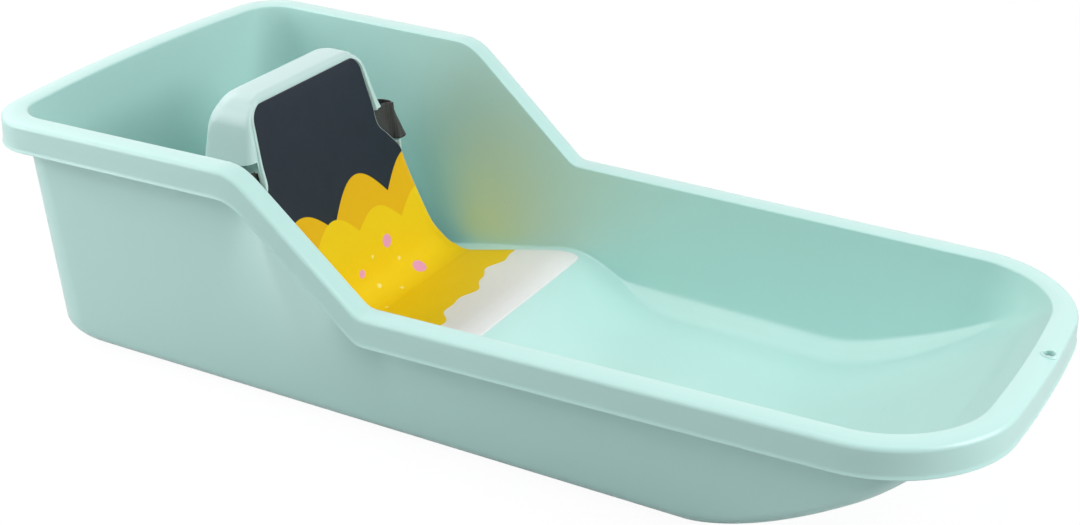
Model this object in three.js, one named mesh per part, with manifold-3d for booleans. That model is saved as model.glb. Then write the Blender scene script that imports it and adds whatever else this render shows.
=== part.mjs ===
// Baby pull sled: a one-piece moulded tub with a high back, a hollow backrest screwed to its floor,
// a thin seat pad laid in a recess, and a lap belt that passes through the backrest and is buckled behind it.
// Millimetres. X runs from the rear to the nose, Y across, Z up from the snow.
import * as THREE from 'three';
import { mergeVertices } from 'three/addons/utils/BufferGeometryUtils.js';
import Module from 'manifold-3d';

const wasm = await Module();
wasm.setup();

// Driving dimensions

const tub = {
  length: 960,
  rearHalfWidth: 213.8,
  noseHalfWidth: 186,
  rearCorner: 44,
  noseCorner: 103,
  rearBow: 17.5,
  noseBow: 12.8,
  wall: 3,
  rearHeight: 238,
  backHeight: 240.8,
  sideHeight: 133.8,
  noseHeight: 142.2,
  backEnd: -180.7,
  sideStart: -56.4,
  backBlend: 15,
  sideBlend: 6,
};

const rim = {
  flange: 21.6,
  innerEdge: 2,
  outerEdge: 5,
  crown: 0.7,
  skirt: 27.7,
  skirtFlare: 0.8,
  skirtWall: 2.6,
};

const side = {
  setRear: 24.4,
  setNose: 21.6,
  draft: THREE.MathUtils.degToRad(3.45),
  rearFoot: 21.8,
  fillet: 15.5,
  rimCornerRear: 28,
  wallCornerRear: 46.6,
  footCornerRear: 62,
};

const scoop = {
  start: 236.6,
  length: 200.2,
  rise: 110,
  power: 1.58,
  noseFoot: 36,
  wallCorner: 60,
  footCorner: 50,
};

const strip = {
  rise: 22,
  noseRise: 8,
  rearRise: 7,
  widthPerRise: 0.84,
  begin: -62,
  full: -30,
  fadeStart: 285,
  fadeEnd: 425,
};

const hump = {
  rearFoot: -230,
  crest: -41,
  frontFoot: 50,
  height: 40.5,
  rearBlend: 12,
  crestBlend: 24,
  footBlend: 28,
};

const runner = {
  depth: 3,
  width: 14,
  centre: 112,
  rear: -405,
  nose: 395,
  ramp: 30,
  sink: 1,
};

const pocket = {
  halfWidth: 138,
  rib: 3,
  roof: 9.2,
  rear: -182,
  nose: 22,
  count: 3,
};

const cheek = {
  skin: 3,
  rear: -176,
  nose: -48,
  blend: 26,
  reveal: 1,
  sink: 0.5,
  topLap: 4,
  foot: 20,
};

const ropeHole = {
  radius: 4.8,
  fromNose: 8.6,
  aside: 18,
  collar: 1.6,
  collarHeight: 1.3,
};

const back = {
  topFront: -251.2,
  topHeight: 246,
  tilt: THREE.MathUtils.degToRad(14),
  rear: -298,
  crownRise: 7,
  frontEdge: 5,
  rearEdge: 24,
  topCorner: 26,
  lip: 4,
  lipProud: 3,
  wall: 3,
};

const pad = {
  thickness: 5,
  fit: 0.5,
  bend: 30,
  seatHalfWidth: 158,
  nose: -35,
  topCorner: 14,
  noseCorner: 13,
  crown: 0.9,
  edge: 1.6,
};

// Half widths of the pad and of the flanks up the backrest, as shares of the pad's half width on the seat and
// of the pad's height. The pad has shoulders at the belt slots, which open in front beside it.
const padHalfWidthShares = [0.99, 0.945, 0.885, 0.812, 0.755, 0.742, 0.655, 0.577, 0.568, 0.549, 0.535];
const padHeightShares = [0.07, 0.145, 0.21, 0.36, 0.51, 0.57, 0.64, 0.7, 0.78, 0.9, 1];
const flankHalfWidthShares = [1.04, 0.996, 0.936, 0.863, 0.791, 0.648, 0.571];
const flankHeightShares = [0.07, 0.145, 0.21, 0.36, 0.57, 0.8, 1];
// Where the pad's sections have their points, across it, and round its corners from each end.
const padAcrossShares = [-1, -0.9, -0.45, 0, 0.45, 0.9, 1];
const padCornerShares = [0.04, 0.3, 0.65, 1];
const padEdgePower = 12;

const belt = {
  width: 38,
  thickness: 1.8,
  height: 166,
  clearance: 1.4,
  layerGap: 0.4,
  groove: 5.2,
  lap: 26,
  slotBehind: 11,
  slotAhead: 2.6,
  slotInner: 84,
  loopOut: 17,
  loopRun: 16,
  behind: 3.7,
  tail: 12,
};

// The strap's loop beside the backrest: ahead by shares of loopRun, out by shares of loopOut, then how much
// of the backrest's tilt and of its flank's slope the strap takes on there.
const loopShares = [
  [0.1, 0.55, 1, 0],
  [0.06, 0.9, 0.7, 0.4],
  [-0.4, 1, 0.2, 0.8],
  [-1.1, 0.75, 0, 1],
  [-2.2, 0.3, 0, 1],
];

const buckle = {
  end: 42,
  mouth: 6,
  halfHeight: 25,
  thickness: 13,
  wall: 2.4,
  corner: 7,
  bar: 5,
  barThickness: 4.4,
  barSlot: 7.5,
  fit: 0.5,
  neck: 11,
  head: 19,
  headLength: 9,
  shoulder: 14,
};

const adjuster = {
  centre: -75,
  halfLength: 11,
  cheek: 3.4,
  rail: 3.2,
  bar: 4,
  thickness: 2.2,
  fit: 0.4,
};

const screw = {
  headRadius: 5,
  headHeight: 2.2,
  shankRadius: 2.1,
  length: 24,
  hole: 2.7,
  boss: 6.5,
  bossHeight: 42,
  rearSet: 8,
  rearApart: 80,
  frontSet: 23.1,
  frontApart: 94,
  recess: 0.3,
};

const seatGap = 0.3;
const overrun = 6;
const stationPitch = 15;
const coarsePitch = 45;

// How the bow of the rear and of the nose fades round the corners, as shares of the corner's radius.
const noseBowShare = 1.2;
const rearBowShare = 1.5;
const screwChamferShare = 0.75;

// Counts of points
const webSteps = 72;
const rearSteps = 4;
const cornerSteps = 6;
const noseSteps = 4;
const arcSteps = 4;
const bendSteps = 8;
const outlineSteps = 30;
const roundSides = 24;
const smallSides = 16;

// Profiles of the tub, as heights over X

const rimRear = -tub.length / 2 + tub.rearBow;
const rimNose = tub.length / 2 - tub.noseBow;
const lerp = THREE.MathUtils.lerp;
const clamp = THREE.MathUtils.clamp;
const smooth = THREE.MathUtils.smoothstep;

function lengthShare(x) {
  return (x - rimRear) / (rimNose - rimRear);
}

function rimHalf(x) {
  return lerp(tub.rearHalfWidth, tub.noseHalfWidth, lengthShare(x));
}

// A line with corners, each rounded over a half length by a parabola that leaves both lines at a tangent.
function roundedLine(points, blends, x) {
  const slopes = [];
  for (let i = 0; i < points.length - 1; i++) {
    slopes.push((points[i + 1][1] - points[i][1]) / (points[i + 1][0] - points[i][0]));
  }
  for (let i = 1; i < points.length - 1; i++) {
    const blend = blends[i - 1];
    const from = points[i][0] - blend;
    if (x > from && x < points[i][0] + blend) {
      const t = (x - from) / (2 * blend);
      const straight = points[i][1] + slopes[i - 1] * (x - points[i][0]);
      return straight + (slopes[i] - slopes[i - 1]) * blend * t * t;
    }
  }
  let k = 0;
  while (k < slopes.length - 1 && x > points[k + 1][0]) k++;
  return points[k][1] + slopes[k] * (x - points[k][0]);
}

function rimTop(x) {
  const points = [
    [rimRear, tub.rearHeight],
    [tub.backEnd, tub.backHeight],
    [tub.sideStart, tub.sideHeight],
    [rimNose, tub.noseHeight],
  ];
  return roundedLine(points, [tub.backBlend, tub.sideBlend], x);
}

// The scoop's height. Past the ring where the bottom ends, the nose goes on up to the rim from there.
function bottomZ(x) {
  const end = tub.length / 2 - scoop.noseFoot;
  const t = Math.max(0, Math.min(x, end) - scoop.start) / scoop.length;
  return runner.depth + scoop.rise * Math.pow(t, scoop.power);
}

function bottomSlope(x) {
  const t = Math.max(0, x - scoop.start) / scoop.length;
  return (scoop.rise / scoop.length) * scoop.power * Math.pow(t, scoop.power - 1);
}

function humpZ(x) {
  const points = [
    [rimRear, 0],
    [hump.rearFoot, 0],
    [hump.crest, hump.height],
    [hump.frontFoot, 0],
    [rimNose, 0],
  ];
  return roundedLine(points, [hump.rearBlend, hump.crestBlend, hump.footBlend], x);
}

// The inner floor lies one wall above the bottom, measured square to the scoop.
function floorTop(x) {
  const slope = bottomSlope(x);
  return bottomZ(x) + tub.wall * Math.sqrt(1 + slope * slope) + humpZ(x);
}

// Where the side wall starts: above a sloping strip in front of the hump, nearly at the floor behind it.
function wallFoot(x) {
  const front = lerp(strip.rise, strip.noseRise, smooth(x, strip.fadeStart, strip.fadeEnd));
  const rise = lerp(strip.rearRise, front, smooth(x, strip.begin, strip.full));
  return Math.max(floorTop(x) + rim.innerEdge, bottomZ(x) + rise);
}

// How far the outer wall stands inside the rim at a height, from its draft.
function wallInset(x, z) {
  const set = lerp(side.setRear, side.setNose, lengthShare(x));
  return set + Math.tan(side.draft) * (tub.sideHeight - z);
}

function stations(from, to, pitch) {
  const count = Math.max(1, Math.round((to - from) / pitch));
  const list = [];
  for (let i = 0; i <= count; i++) list.push(lerp(from, to, i / count));
  return list;
}

// Solids

function geometryOf(positions, triangles) {
  const geometry = new THREE.BufferGeometry();
  geometry.setAttribute('position', new THREE.Float32BufferAttribute(positions, 3));
  geometry.setIndex(triangles);
  return geometry;
}

function signedVolume(positions, triangles) {
  const a = new THREE.Vector3();
  const b = new THREE.Vector3();
  const c = new THREE.Vector3();
  let volume = 0;
  for (let i = 0; i < triangles.length; i += 3) {
    a.fromArray(positions, 3 * triangles[i]);
    b.fromArray(positions, 3 * triangles[i + 1]);
    c.fromArray(positions, 3 * triangles[i + 2]);
    volume += a.dot(b.cross(c)) / 6;
  }
  return volume;
}

// Joins closed rings of equally many points, and closes the first and the last one. A mirrored cap joins
// each point to its mirror image across the sled, and a fan cap joins all to the ring's first point.
function loft(rings, cap) {
  const count = rings[0].length;
  const positions = rings.flat(2);
  const triangles = [];
  for (let k = 0; k < rings.length - 1; k++) {
    for (let i = 0; i < count; i++) {
      const a = k * count + i;
      const b = k * count + ((i + 1) % count);
      triangles.push(a, b, b + count, a, b + count, a + count);
    }
  }
  for (const [k, turned] of [[0, true], [rings.length - 1, false]]) {
    const start = k * count;
    const face = (i, j, m) => {
      if (turned) triangles.push(start + i, start + m, start + j);
      else triangles.push(start + i, start + j, start + m);
    };
    if (cap === 'mirrored') {
      for (let i = 0; i < count / 2; i++) {
        const far = (count - i) % count;
        if (i > 0) face(i, i + 1, far);
        if (i + 1 < count / 2) face(i + 1, (count - i - 1) % count, far);
      }
    } else {
      for (let i = 1; i < count - 1; i++) face(0, i, i + 1);
    }
  }
  if (signedVolume(positions, triangles) < 0) triangles.reverse();
  return geometryOf(positions, triangles);
}

function solid(geometry) {
  const bare = geometry.clone();
  bare.deleteAttribute('normal');
  bare.deleteAttribute('uv');
  const merged = mergeVertices(bare, 1e-4);
  const mesh = new wasm.Mesh({
    numProp: 3,
    vertProperties: new Float32Array(merged.attributes.position.array),
    triVerts: new Uint32Array(merged.index.array),
  });
  return new wasm.Manifold(mesh);
}

function geometryFrom(manifold) {
  const mesh = manifold.getMesh();
  const geometry = geometryOf(Array.from(mesh.vertProperties), Array.from(mesh.triVerts));
  geometry.computeVertexNormals();
  return geometry;
}

// An outline in the XZ plane, drawn as points, made as wide across the sled as from one Y to another.
function acrossSled(points, fromY, toY) {
  const shape = new THREE.Shape(points.map(([x, z]) => new THREE.Vector2(x, z)));
  const geometry = new THREE.ExtrudeGeometry(shape, { depth: toY - fromY, bevelEnabled: false });
  geometry.rotateX(Math.PI / 2);
  geometry.translate(0, toY, 0);
  return geometry;
}

function cylinder(x, y, fromZ, toZ, radius, sides) {
  const geometry = new THREE.CylinderGeometry(radius, radius, toZ - fromZ, sides);
  geometry.rotateX(Math.PI / 2);
  geometry.translate(x, y, (fromZ + toZ) / 2);
  return geometry;
}

function boxBetween(low, high) {
  const size = low.map((value, i) => high[i] - value);
  const geometry = new THREE.BoxGeometry(size[0], size[1], size[2]);
  geometry.translate((low[0] + high[0]) / 2, (low[1] + high[1]) / 2, (low[2] + high[2]) / 2);
  return geometry;
}

// The tub

// Half of a plan ring, from the rear's middle to the nose's middle, with y at 0 or above. The ring is the
// rim's outline set in: a trapezium with rounded corners whose rear and nose bow outwards.
function planHalf(ring) {
  const rear = rimRear + ring.rear;
  const nose = rimNose - ring.nose;
  const half = (x) => rimHalf(x) - ring.side(x);
  const rearFlat = half(rear + ring.rearCorner) - ring.rearCorner;
  const noseFlat = half(nose - ring.noseCorner) - ring.noseCorner;
  const points = [];
  for (let i = 0; i < rearSteps; i++) points.push([rear, (rearFlat * i) / rearSteps]);
  for (let i = 0; i <= cornerSteps; i++) {
    const a = (Math.PI / 2) * (i / cornerSteps);
    points.push([rear + ring.rearCorner * (1 - Math.cos(a)), rearFlat + ring.rearCorner * Math.sin(a)]);
  }
  for (const x of sideStations) points.push([x, half(x)]);
  for (let i = 0; i <= cornerSteps; i++) {
    const a = (Math.PI / 2) * (i / cornerSteps);
    points.push([nose - ring.noseCorner * (1 - Math.sin(a)), noseFlat + ring.noseCorner * Math.cos(a)]);
  }
  for (let i = 1; i <= noseSteps; i++) points.push([nose, noseFlat * (1 - i / noseSteps)]);
  return points.map(([x, y]) => bowed(x, y, rear, nose, ring));
}

function bowed(x, y, rear, nose, ring) {
  const noseReach = noseBowShare * ring.noseCorner;
  const rearReach = rearBowShare * ring.rearCorner;
  const noseShare = clamp((x - nose + noseReach) / noseReach, 0, 1);
  const rearShare = clamp((rear + rearReach - x) / rearReach, 0, 1);
  const nosePart = tub.noseBow * noseShare * (1 - (y / tub.noseHalfWidth) ** 2);
  const rearPart = tub.rearBow * rearShare * (1 - (y / tub.rearHalfWidth) ** 2);
  return [x + nosePart - rearPart, y];
}

const sideStations = makeSideStations();

function makeSideStations() {
  const first = rimRear + side.rearFoot + side.fillet + side.footCornerRear + overrun;
  const last = rimNose - rim.flange - tub.noseCorner - overrun;
  const marks = [
    [first, coarsePitch],
    [hump.rearFoot - hump.rearBlend, stationPitch],
    [tub.backEnd - tub.backBlend, stationPitch],
    [tub.backEnd, stationPitch],
    [tub.backEnd + tub.backBlend, stationPitch],
    [tub.sideStart - tub.sideBlend, stationPitch],
    [tub.sideStart, stationPitch],
    [tub.sideStart + tub.sideBlend, stationPitch],
    [hump.frontFoot - hump.footBlend, stationPitch],
    [hump.frontFoot + hump.footBlend, coarsePitch],
    [scoop.start, stationPitch],
    [last, stationPitch],
  ];
  const list = [first];
  for (let i = 0; i < marks.length - 1; i++) {
    list.push(...stations(marks[i][0], marks[i + 1][0], marks[i][1]).slice(1));
  }
  return list;
}

function tubRing(ring, height) {
  const half = planHalf(ring);
  const near = half.map(([x, y]) => [x, -y, height(x)]);
  const far = half.slice(1, -1).reverse().map(([x, y]) => [x, y, height(x)]);
  return [...near, ...far];
}

function offsetRing(inset, drop) {
  const ring = {
    rear: inset,
    nose: inset,
    side: () => inset,
    rearCorner: Math.max(tub.rearCorner - inset, side.rimCornerRear),
    noseCorner: tub.noseCorner - inset,
  };
  return tubRing(ring, (x) => rimTop(x) - drop);
}

function arcRings(inset, drop, radius, from, to, steps) {
  const rings = [];
  for (let i = 0; i <= steps; i++) {
    const a = lerp(from, to, i / steps);
    rings.push(offsetRing(inset + radius * Math.cos(a), drop - radius * Math.sin(a)));
  }
  return rings;
}

function floorRings() {
  const stripWidth = (x) => strip.widthPerRise * (wallFoot(x) - floorTop(x));
  const foot = {
    rear: side.rearFoot + tub.wall,
    nose: scoop.noseFoot + strip.noseRise,
    side: (x) => wallInset(x, wallFoot(x)) + tub.wall,
    rearCorner: side.footCornerRear,
    noseCorner: scoop.footCorner,
  };
  const floor = {
    ...foot,
    rear: foot.rear + strip.rearRise,
    nose: foot.nose + strip.noseRise,
    side: (x) => foot.side(x) + stripWidth(x),
    noseCorner: scoop.footCorner - strip.noseRise,
  };
  return [tubRing(floor, floorTop), tubRing(foot, wallFoot)];
}

function outerWallRings() {
  const rings = [];
  for (let i = 0; i <= arcSteps; i++) {
    const a = (Math.PI / 2) * (i / arcSteps);
    const inward = side.fillet * (1 - Math.cos(a));
    const up = side.fillet * (1 - Math.sin(a));
    const ring = {
      rear: side.rearFoot + inward,
      nose: scoop.noseFoot - up,
      side: (x) => wallInset(x, bottomZ(x) + up) + inward,
      rearCorner: lerp(side.wallCornerRear, side.footCornerRear, i / arcSteps),
      noseCorner: lerp(scoop.wallCorner, scoop.footCorner, i / arcSteps),
    };
    rings.push(tubRing(ring, (x) => bottomZ(x) + up));
  }
  return rings;
}

function tubShell() {
  const wallInner = rim.flange + rim.innerEdge;
  const rings = [
    ...floorRings(),
    ...arcRings(rim.flange, rim.innerEdge, rim.innerEdge, 0, Math.PI / 2, 2),
    offsetRing((rim.flange + rim.outerEdge) / 2, -rim.crown),
    ...arcRings(rim.outerEdge + rim.skirtFlare, rim.outerEdge, rim.outerEdge, Math.PI / 2, Math.PI, 3),
    offsetRing(0, rim.skirt),
    offsetRing(rim.skirtWall, rim.skirt),
    offsetRing(rim.skirtWall + rim.skirtFlare, rim.outerEdge),
    offsetRing(rim.outerEdge + rim.skirtFlare, tub.wall),
    offsetRing(wallInner - tub.wall, tub.wall),
    ...outerWallRings(),
  ];
  let body = solid(loft(rings, 'mirrored'));
  for (const y of [-1, 1]) body = body.add(solid(cheekPanel(y))).add(solid(runnerStrip(y)));
  for (const part of humpPockets()) body = body.subtract(solid(part));
  body = cutRopeHole(body);
  for (const [x, y] of screwPlaces()) {
    body = body.subtract(solid(cylinder(x, y, -overrun, floorTop(x) + overrun, screw.hole, smallSides)));
  }
  return body.subtract(solid(padRecess()));
}

// Below the slope of the rim the side flares out flush with the skirt: a skin that leaves the wall at its foot
// and reaches the skirt's lower edge, with the space behind it open to the hollow under the rim.
function cheekPanel(toSide) {
  const rings = [];
  const levels = 5;
  for (const x of stations(cheek.rear, cheek.nose, stationPitch / 2)) {
    const bulge = smooth(x, cheek.rear, cheek.rear + cheek.blend) * (1 - smooth(x, cheek.nose - cheek.blend, cheek.nose));
    const top = rimTop(x) - rim.skirt + cheek.topLap;
    const ring = [];
    for (let i = 0; i <= levels; i++) {
      const z = lerp(cheek.foot, top, i / levels);
      const plain = rimHalf(x) - wallInset(x, z) - cheek.sink;
      const flush = rimHalf(x) - cheek.reveal;
      ring.push([x, lerp(plain, flush, (bulge * i) / levels), z]);
    }
    const inner = ring.map(([px, y, z]) => [px, y - cheek.skin, z]).reverse();
    rings.push([...ring, ...inner].map(([px, y, z]) => [px, toSide * y, z]));
  }
  return loft(rings, 'fan');
}

function runnerStrip(toSide) {
  const scooped = stations(scoop.start, runner.nose, 2 * stationPitch);
  const end = scooped.pop();
  const under = [runner.rear + runner.ramp, ...scooped].map((x) => [x, bottomZ(x) - runner.depth]);
  const over = [runner.rear, ...scooped, end].map((x) => [x, bottomZ(x) + runner.sink]).reverse();
  const centre = toSide * runner.centre;
  const outline = [[runner.rear, bottomZ(runner.rear)], ...under, [end, bottomZ(end)], ...over];
  return acrossSled(outline, centre - runner.width / 2, centre + runner.width / 2);
}

// The hump is hollow underneath, in bays that longitudinal ribs divide.
function humpPockets() {
  const list = stations(pocket.rear, pocket.nose, stationPitch);
  const roof = list.map((x) => [x, floorTop(x) - pocket.roof]).reverse();
  const outline = [[pocket.rear, -overrun], [pocket.nose, -overrun], ...roof];
  const bay = (2 * pocket.halfWidth - (pocket.count - 1) * pocket.rib) / pocket.count;
  const bays = [];
  for (let i = 0; i < pocket.count; i++) {
    const from = -pocket.halfWidth + i * (bay + pocket.rib);
    bays.push(acrossSled(outline, from, from + bay));
  }
  return bays;
}

function cutRopeHole(body) {
  const x = tub.length / 2 - ropeHole.fromNose;
  const y = ropeHole.aside;
  const top = rimTop(x) + ropeHole.collarHeight;
  const collar = cylinder(x, y, rimTop(x) - tub.wall, top, ropeHole.radius + ropeHole.collar, roundSides);
  const bore = cylinder(x, y, rimTop(x) - rim.outerEdge - overrun, top + overrun, ropeHole.radius, roundSides);
  return body.add(solid(collar)).subtract(solid(bore));
}

// The seat pad: a thin sheet that comes down the backrest, bends and runs along the hump to its crest

const padOutline = widthOutline(padHalfWidthShares, padHeightShares);
const flankOutline = widthOutline(flankHalfWidthShares, flankHeightShares);

// Half widths against heights up the backrest, from shares of the seat's half width and of the pad's height.
function widthOutline(widthShares, heightShares) {
  const points = heightShares.map((share, i) => {
    return new THREE.Vector2(pad.seatHalfWidth * widthShares[i], back.topHeight * share);
  });
  return new THREE.SplineCurve(points).getPoints(outlineSteps);
}

function halfAt(outline, z) {
  if (z <= outline[0].y) return lerp(pad.seatHalfWidth, outline[0].x, clamp(z / outline[0].y, 0, 1));
  let k = 1;
  while (k < outline.length - 1 && outline[k].y < z) k++;
  const a = outline[k - 1];
  const b = outline[k];
  return lerp(a.x, b.x, clamp((z - a.y) / (b.y - a.y), 0, 1));
}

// The backrest's front plane, moved square to itself: X at a height.
function backPlane(z, ahead) {
  return back.topFront + Math.tan(back.tilt) * (back.topHeight - z) + ahead / Math.cos(back.tilt);
}

// The middle line of a sheet that lies a given depth below the pad's top face.
function padPath(depth) {
  const slope = hump.height / (hump.crest - hump.rearFoot);
  const seatSet = depth * Math.sqrt(1 + slope * slope);
  const seatAt = (x) => floorTop(x) - seatSet;
  const top = new THREE.Vector2(backPlane(back.topHeight, -depth), back.topHeight);
  const down = new THREE.Vector2(Math.sin(back.tilt), -Math.cos(back.tilt));
  const along = new THREE.Vector2(1, slope).normalize();
  const ramp = new THREE.Vector2(hump.rearFoot, runner.depth + tub.wall - seatSet);
  const cross = down.x * along.y - down.y * along.x;
  const gap = ramp.clone().sub(top);
  const reach = (gap.x * along.y - gap.y * along.x) / cross;
  const corner = top.clone().addScaledVector(down, reach);
  const turn = Math.acos(clamp(down.dot(along), -1, 1));
  const radius = pad.bend + depth;
  const tangent = radius * Math.tan(turn / 2);
  const points = [];
  for (const s of stations(0, reach - tangent, stationPitch / 2)) points.push(top.clone().addScaledVector(down, s));
  const centre = points[points.length - 1].clone().add(new THREE.Vector2(-down.y, down.x).multiplyScalar(radius));
  for (let i = 1; i <= bendSteps; i++) {
    const a = (turn * i) / bendSteps;
    const spoke = new THREE.Vector2(down.y, -down.x).multiplyScalar(radius);
    points.push(spoke.rotateAround(new THREE.Vector2(), a).add(centre));
  }
  const from = points[points.length - 1].x;
  for (const x of stations(from, pad.nose, stationPitch / 2).slice(1)) points.push(new THREE.Vector2(x, seatAt(x)));
  return points;
}

// Rings of a sheet round a path: each is a flat section with softened edges, square to the path.
function sheetRings(path, upper, lower, grow) {
  const lengths = [0];
  for (let i = 1; i < path.length; i++) lengths.push(lengths[i - 1] + path[i].distanceTo(path[i - 1]));
  const total = lengths[lengths.length - 1];
  const ends = [];
  for (const corner of [pad.topCorner, pad.noseCorner]) {
    ends.push(padCornerShares.map((share) => corner * share));
  }
  const marks = [...ends[0], ...lengths.filter((s) => s > pad.topCorner && s < total - pad.noseCorner)];
  marks.push(...ends[1].map((set) => total - set).reverse());
  return marks.map((s) => {
    const { point, normal } = alongPath(path, lengths, s);
    const fromTop = Math.max(0, pad.topCorner - s);
    const fromNose = Math.max(0, pad.noseCorner - (total - s));
    const roundTop = pad.topCorner - Math.sqrt(pad.topCorner ** 2 - fromTop ** 2);
    const roundNose = pad.noseCorner - Math.sqrt(pad.noseCorner ** 2 - fromNose ** 2);
    const half = halfAt(padOutline, point.y) - roundTop - roundNose + grow;
    const ring = [];
    for (const share of padAcrossShares) {
      const raise = upper + (grow > 0 ? 0 : pad.crown * (1 - share * share) - pad.edge * Math.abs(share) ** padEdgePower);
      ring.push([point.x + normal.x * raise, half * share, point.y + normal.y * raise]);
    }
    for (const share of padAcrossShares.slice().reverse()) {
      ring.push([point.x - normal.x * lower, half * share, point.y - normal.y * lower]);
    }
    return ring;
  });
}

function alongPath(path, lengths, s) {
  let k = 1;
  while (k < path.length - 1 && lengths[k] < s) k++;
  const t = clamp((s - lengths[k - 1]) / (lengths[k] - lengths[k - 1]), 0, 1);
  const point = path[k - 1].clone().lerp(path[k], t);
  const before = path[Math.max(0, k - 2)];
  const after = path[Math.min(path.length - 1, k + 1)];
  const way = after.clone().sub(before).normalize();
  return { point, normal: new THREE.Vector2(-way.y, way.x) };
}

function seatPad() {
  const half = pad.thickness / 2;
  return loft(sheetRings(padPath(half), half, half, 0), 'fan');
}

// The room that the pad needs in the backrest and in the hump: the same sheet, a fit larger and open above.
function padRecess() {
  const half = pad.thickness / 2;
  return loft(sheetRings(padPath(half), half + pad.bend / 2, half + pad.fit, pad.fit), 'fan');
}

// A narrow ridge that stands proud round the pad, as far as the backrest reaches.
function padRidge() {
  const half = pad.thickness / 2;
  const band = loft(sheetRings(padPath(half), half + back.lipProud, half, pad.fit + back.lip), 'fan');
  return solid(band).intersect(solid(backBlock(0, back.lipProud)));
}

// The backrest: a hollow moulding, open below, lofted across the sled from side profiles

function backOutline() {
  const top = back.topHeight + back.crownRise;
  const points = [];
  for (const { x, y } of flankOutline) {
    if (y < back.topHeight - back.topCorner) points.push([x, y]);
  }
  const [sideY, sideZ] = points[points.length - 1];
  for (let i = 1; i <= cornerSteps; i++) {
    const a = (Math.PI / 2) * (i / cornerSteps);
    points.push([sideY - back.topCorner * (1 - Math.cos(a)), lerp(sideZ, top, Math.sin(a))]);
  }
  return points;
}

// One side profile of the backrest, up to a height: plain below, with its top edges rounded.
function sideProfile(y, top, inset, ahead) {
  const front = (z) => backPlane(z, ahead);
  const rear = back.rear + inset;
  const room = (front(top) - rear) / 2;
  const rearEdge = Math.min(back.rearEdge, room);
  const frontEdge = Math.min(back.frontEdge, room);
  const ring = [[rear, y, -overrun], [front(-overrun), y, -overrun]];
  for (let i = 0; i <= arcSteps; i++) {
    const a = (Math.PI / 2) * (i / arcSteps);
    ring.push([front(top) - frontEdge * (1 - Math.cos(a)), y, top - frontEdge * (1 - Math.sin(a))]);
  }
  for (let i = 0; i <= arcSteps; i++) {
    const a = (Math.PI / 2) * (i / arcSteps);
    ring.push([rear + rearEdge * (1 - Math.sin(a)), y, top - rearEdge * (1 - Math.cos(a))]);
  }
  return ring;
}

function backBlock(inset, ahead) {
  const outline = backOutline().map(([y, z]) => [y - inset, z - inset]);
  const half = [[outline[0][0], overrun], ...outline.filter(([, z]) => z > overrun)];
  const rings = half.map(([y, z]) => sideProfile(-y, z, inset, ahead));
  const middle = stations(-half[half.length - 1][0], half[half.length - 1][0], 2 * stationPitch);
  for (const y of middle.slice(1, -1)) rings.push(sideProfile(y, half[half.length - 1][1], inset, ahead));
  rings.push(...half.slice().reverse().map(([y, z]) => sideProfile(y, z, inset, ahead)));
  return loft(rings, 'fan');
}

function floorBlock(gap) {
  const list = [rimRear, ...sideStations.filter((x) => x < hump.frontFoot)];
  const top = list.map((x) => [x, floorTop(x) + gap]).reverse();
  const outline = [[list[0], -2 * overrun], [list[list.length - 1], -2 * overrun], ...top];
  return acrossSled(outline, -tub.rearHalfWidth, tub.rearHalfWidth);
}

function beltHeight() {
  return belt.width / 2 + belt.clearance;
}

// A box in the backrest's own directions: across the sled, up its front plane and square to it.
function tiltedBox(fromY, toY, behind, ahead, halfUp) {
  const geometry = new THREE.BoxGeometry(ahead + behind, toY - fromY, 2 * halfUp);
  geometry.translate((ahead - behind) / 2, (fromY + toY) / 2, 0);
  geometry.rotateY(-back.tilt);
  geometry.translate(backPlane(belt.height, -pad.thickness - pad.fit), 0, belt.height);
  return geometry;
}

function backrestShell() {
  const skin = back.wall + pad.thickness + pad.fit;
  const reach = pad.seatHalfWidth;
  const bridge = tiltedBox(-reach, reach, belt.groove + back.wall, overrun, beltHeight() + back.wall);
  const core = solid(backBlock(back.wall, -skin)).subtract(solid(bridge));
  let body = solid(backBlock(0, 0)).add(padRidge()).subtract(core);
  for (const [x, y] of screwPlaces()) {
    body = body.add(solid(cylinder(x, y, -overrun, screw.bossHeight, screw.boss, smallSides)));
  }
  body = body.subtract(solid(padRecess()));
  body = body.subtract(solid(tiltedBox(-reach, reach, belt.groove, overrun, beltHeight())));
  for (const [from, to] of [[-reach, -belt.slotInner], [belt.slotInner, reach]]) {
    body = body.subtract(solid(tiltedBox(from, to, belt.slotBehind, belt.slotAhead, beltHeight())));
  }
  for (const [x, y] of screwPlaces()) {
    const top = screw.length + overrun;
    body = body.subtract(solid(cylinder(x, y, -overrun, top, screw.shankRadius + seatGap, smallSides)));
  }
  return body.subtract(solid(floorBlock(seatGap)));
}

function screwPlaces() {
  const rearX = back.rear + screw.rearSet;
  const frontX = backPlane(0, 0) - screw.frontSet;
  return [
    [rearX, -screw.rearApart],
    [rearX, screw.rearApart],
    [frontX, -screw.frontApart],
    [frontX, screw.frontApart],
  ];
}

function screwGeometry([x, y]) {
  const low = screw.recess;
  const profile = [
    [0, low],
    [screw.headRadius * screwChamferShare, low],
    [screw.headRadius, low + screw.headHeight / 2],
    [screw.headRadius, low + screw.headHeight],
    [screw.shankRadius, low + screw.headHeight],
    [screw.shankRadius, low + screw.length - screw.shankRadius],
    [0, low + screw.length],
  ];
  const geometry = new THREE.LatheGeometry(profile.map(([r, z]) => new THREE.Vector2(r, z)), smallSides);
  geometry.rotateX(Math.PI / 2);
  geometry.translate(x, y, 0);
  return geometry;
}

// The belt: one strap a side, sewn together where they lap in the groove behind the pad

function runX() {
  return back.rear - belt.behind - belt.thickness / 2;
}

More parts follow.
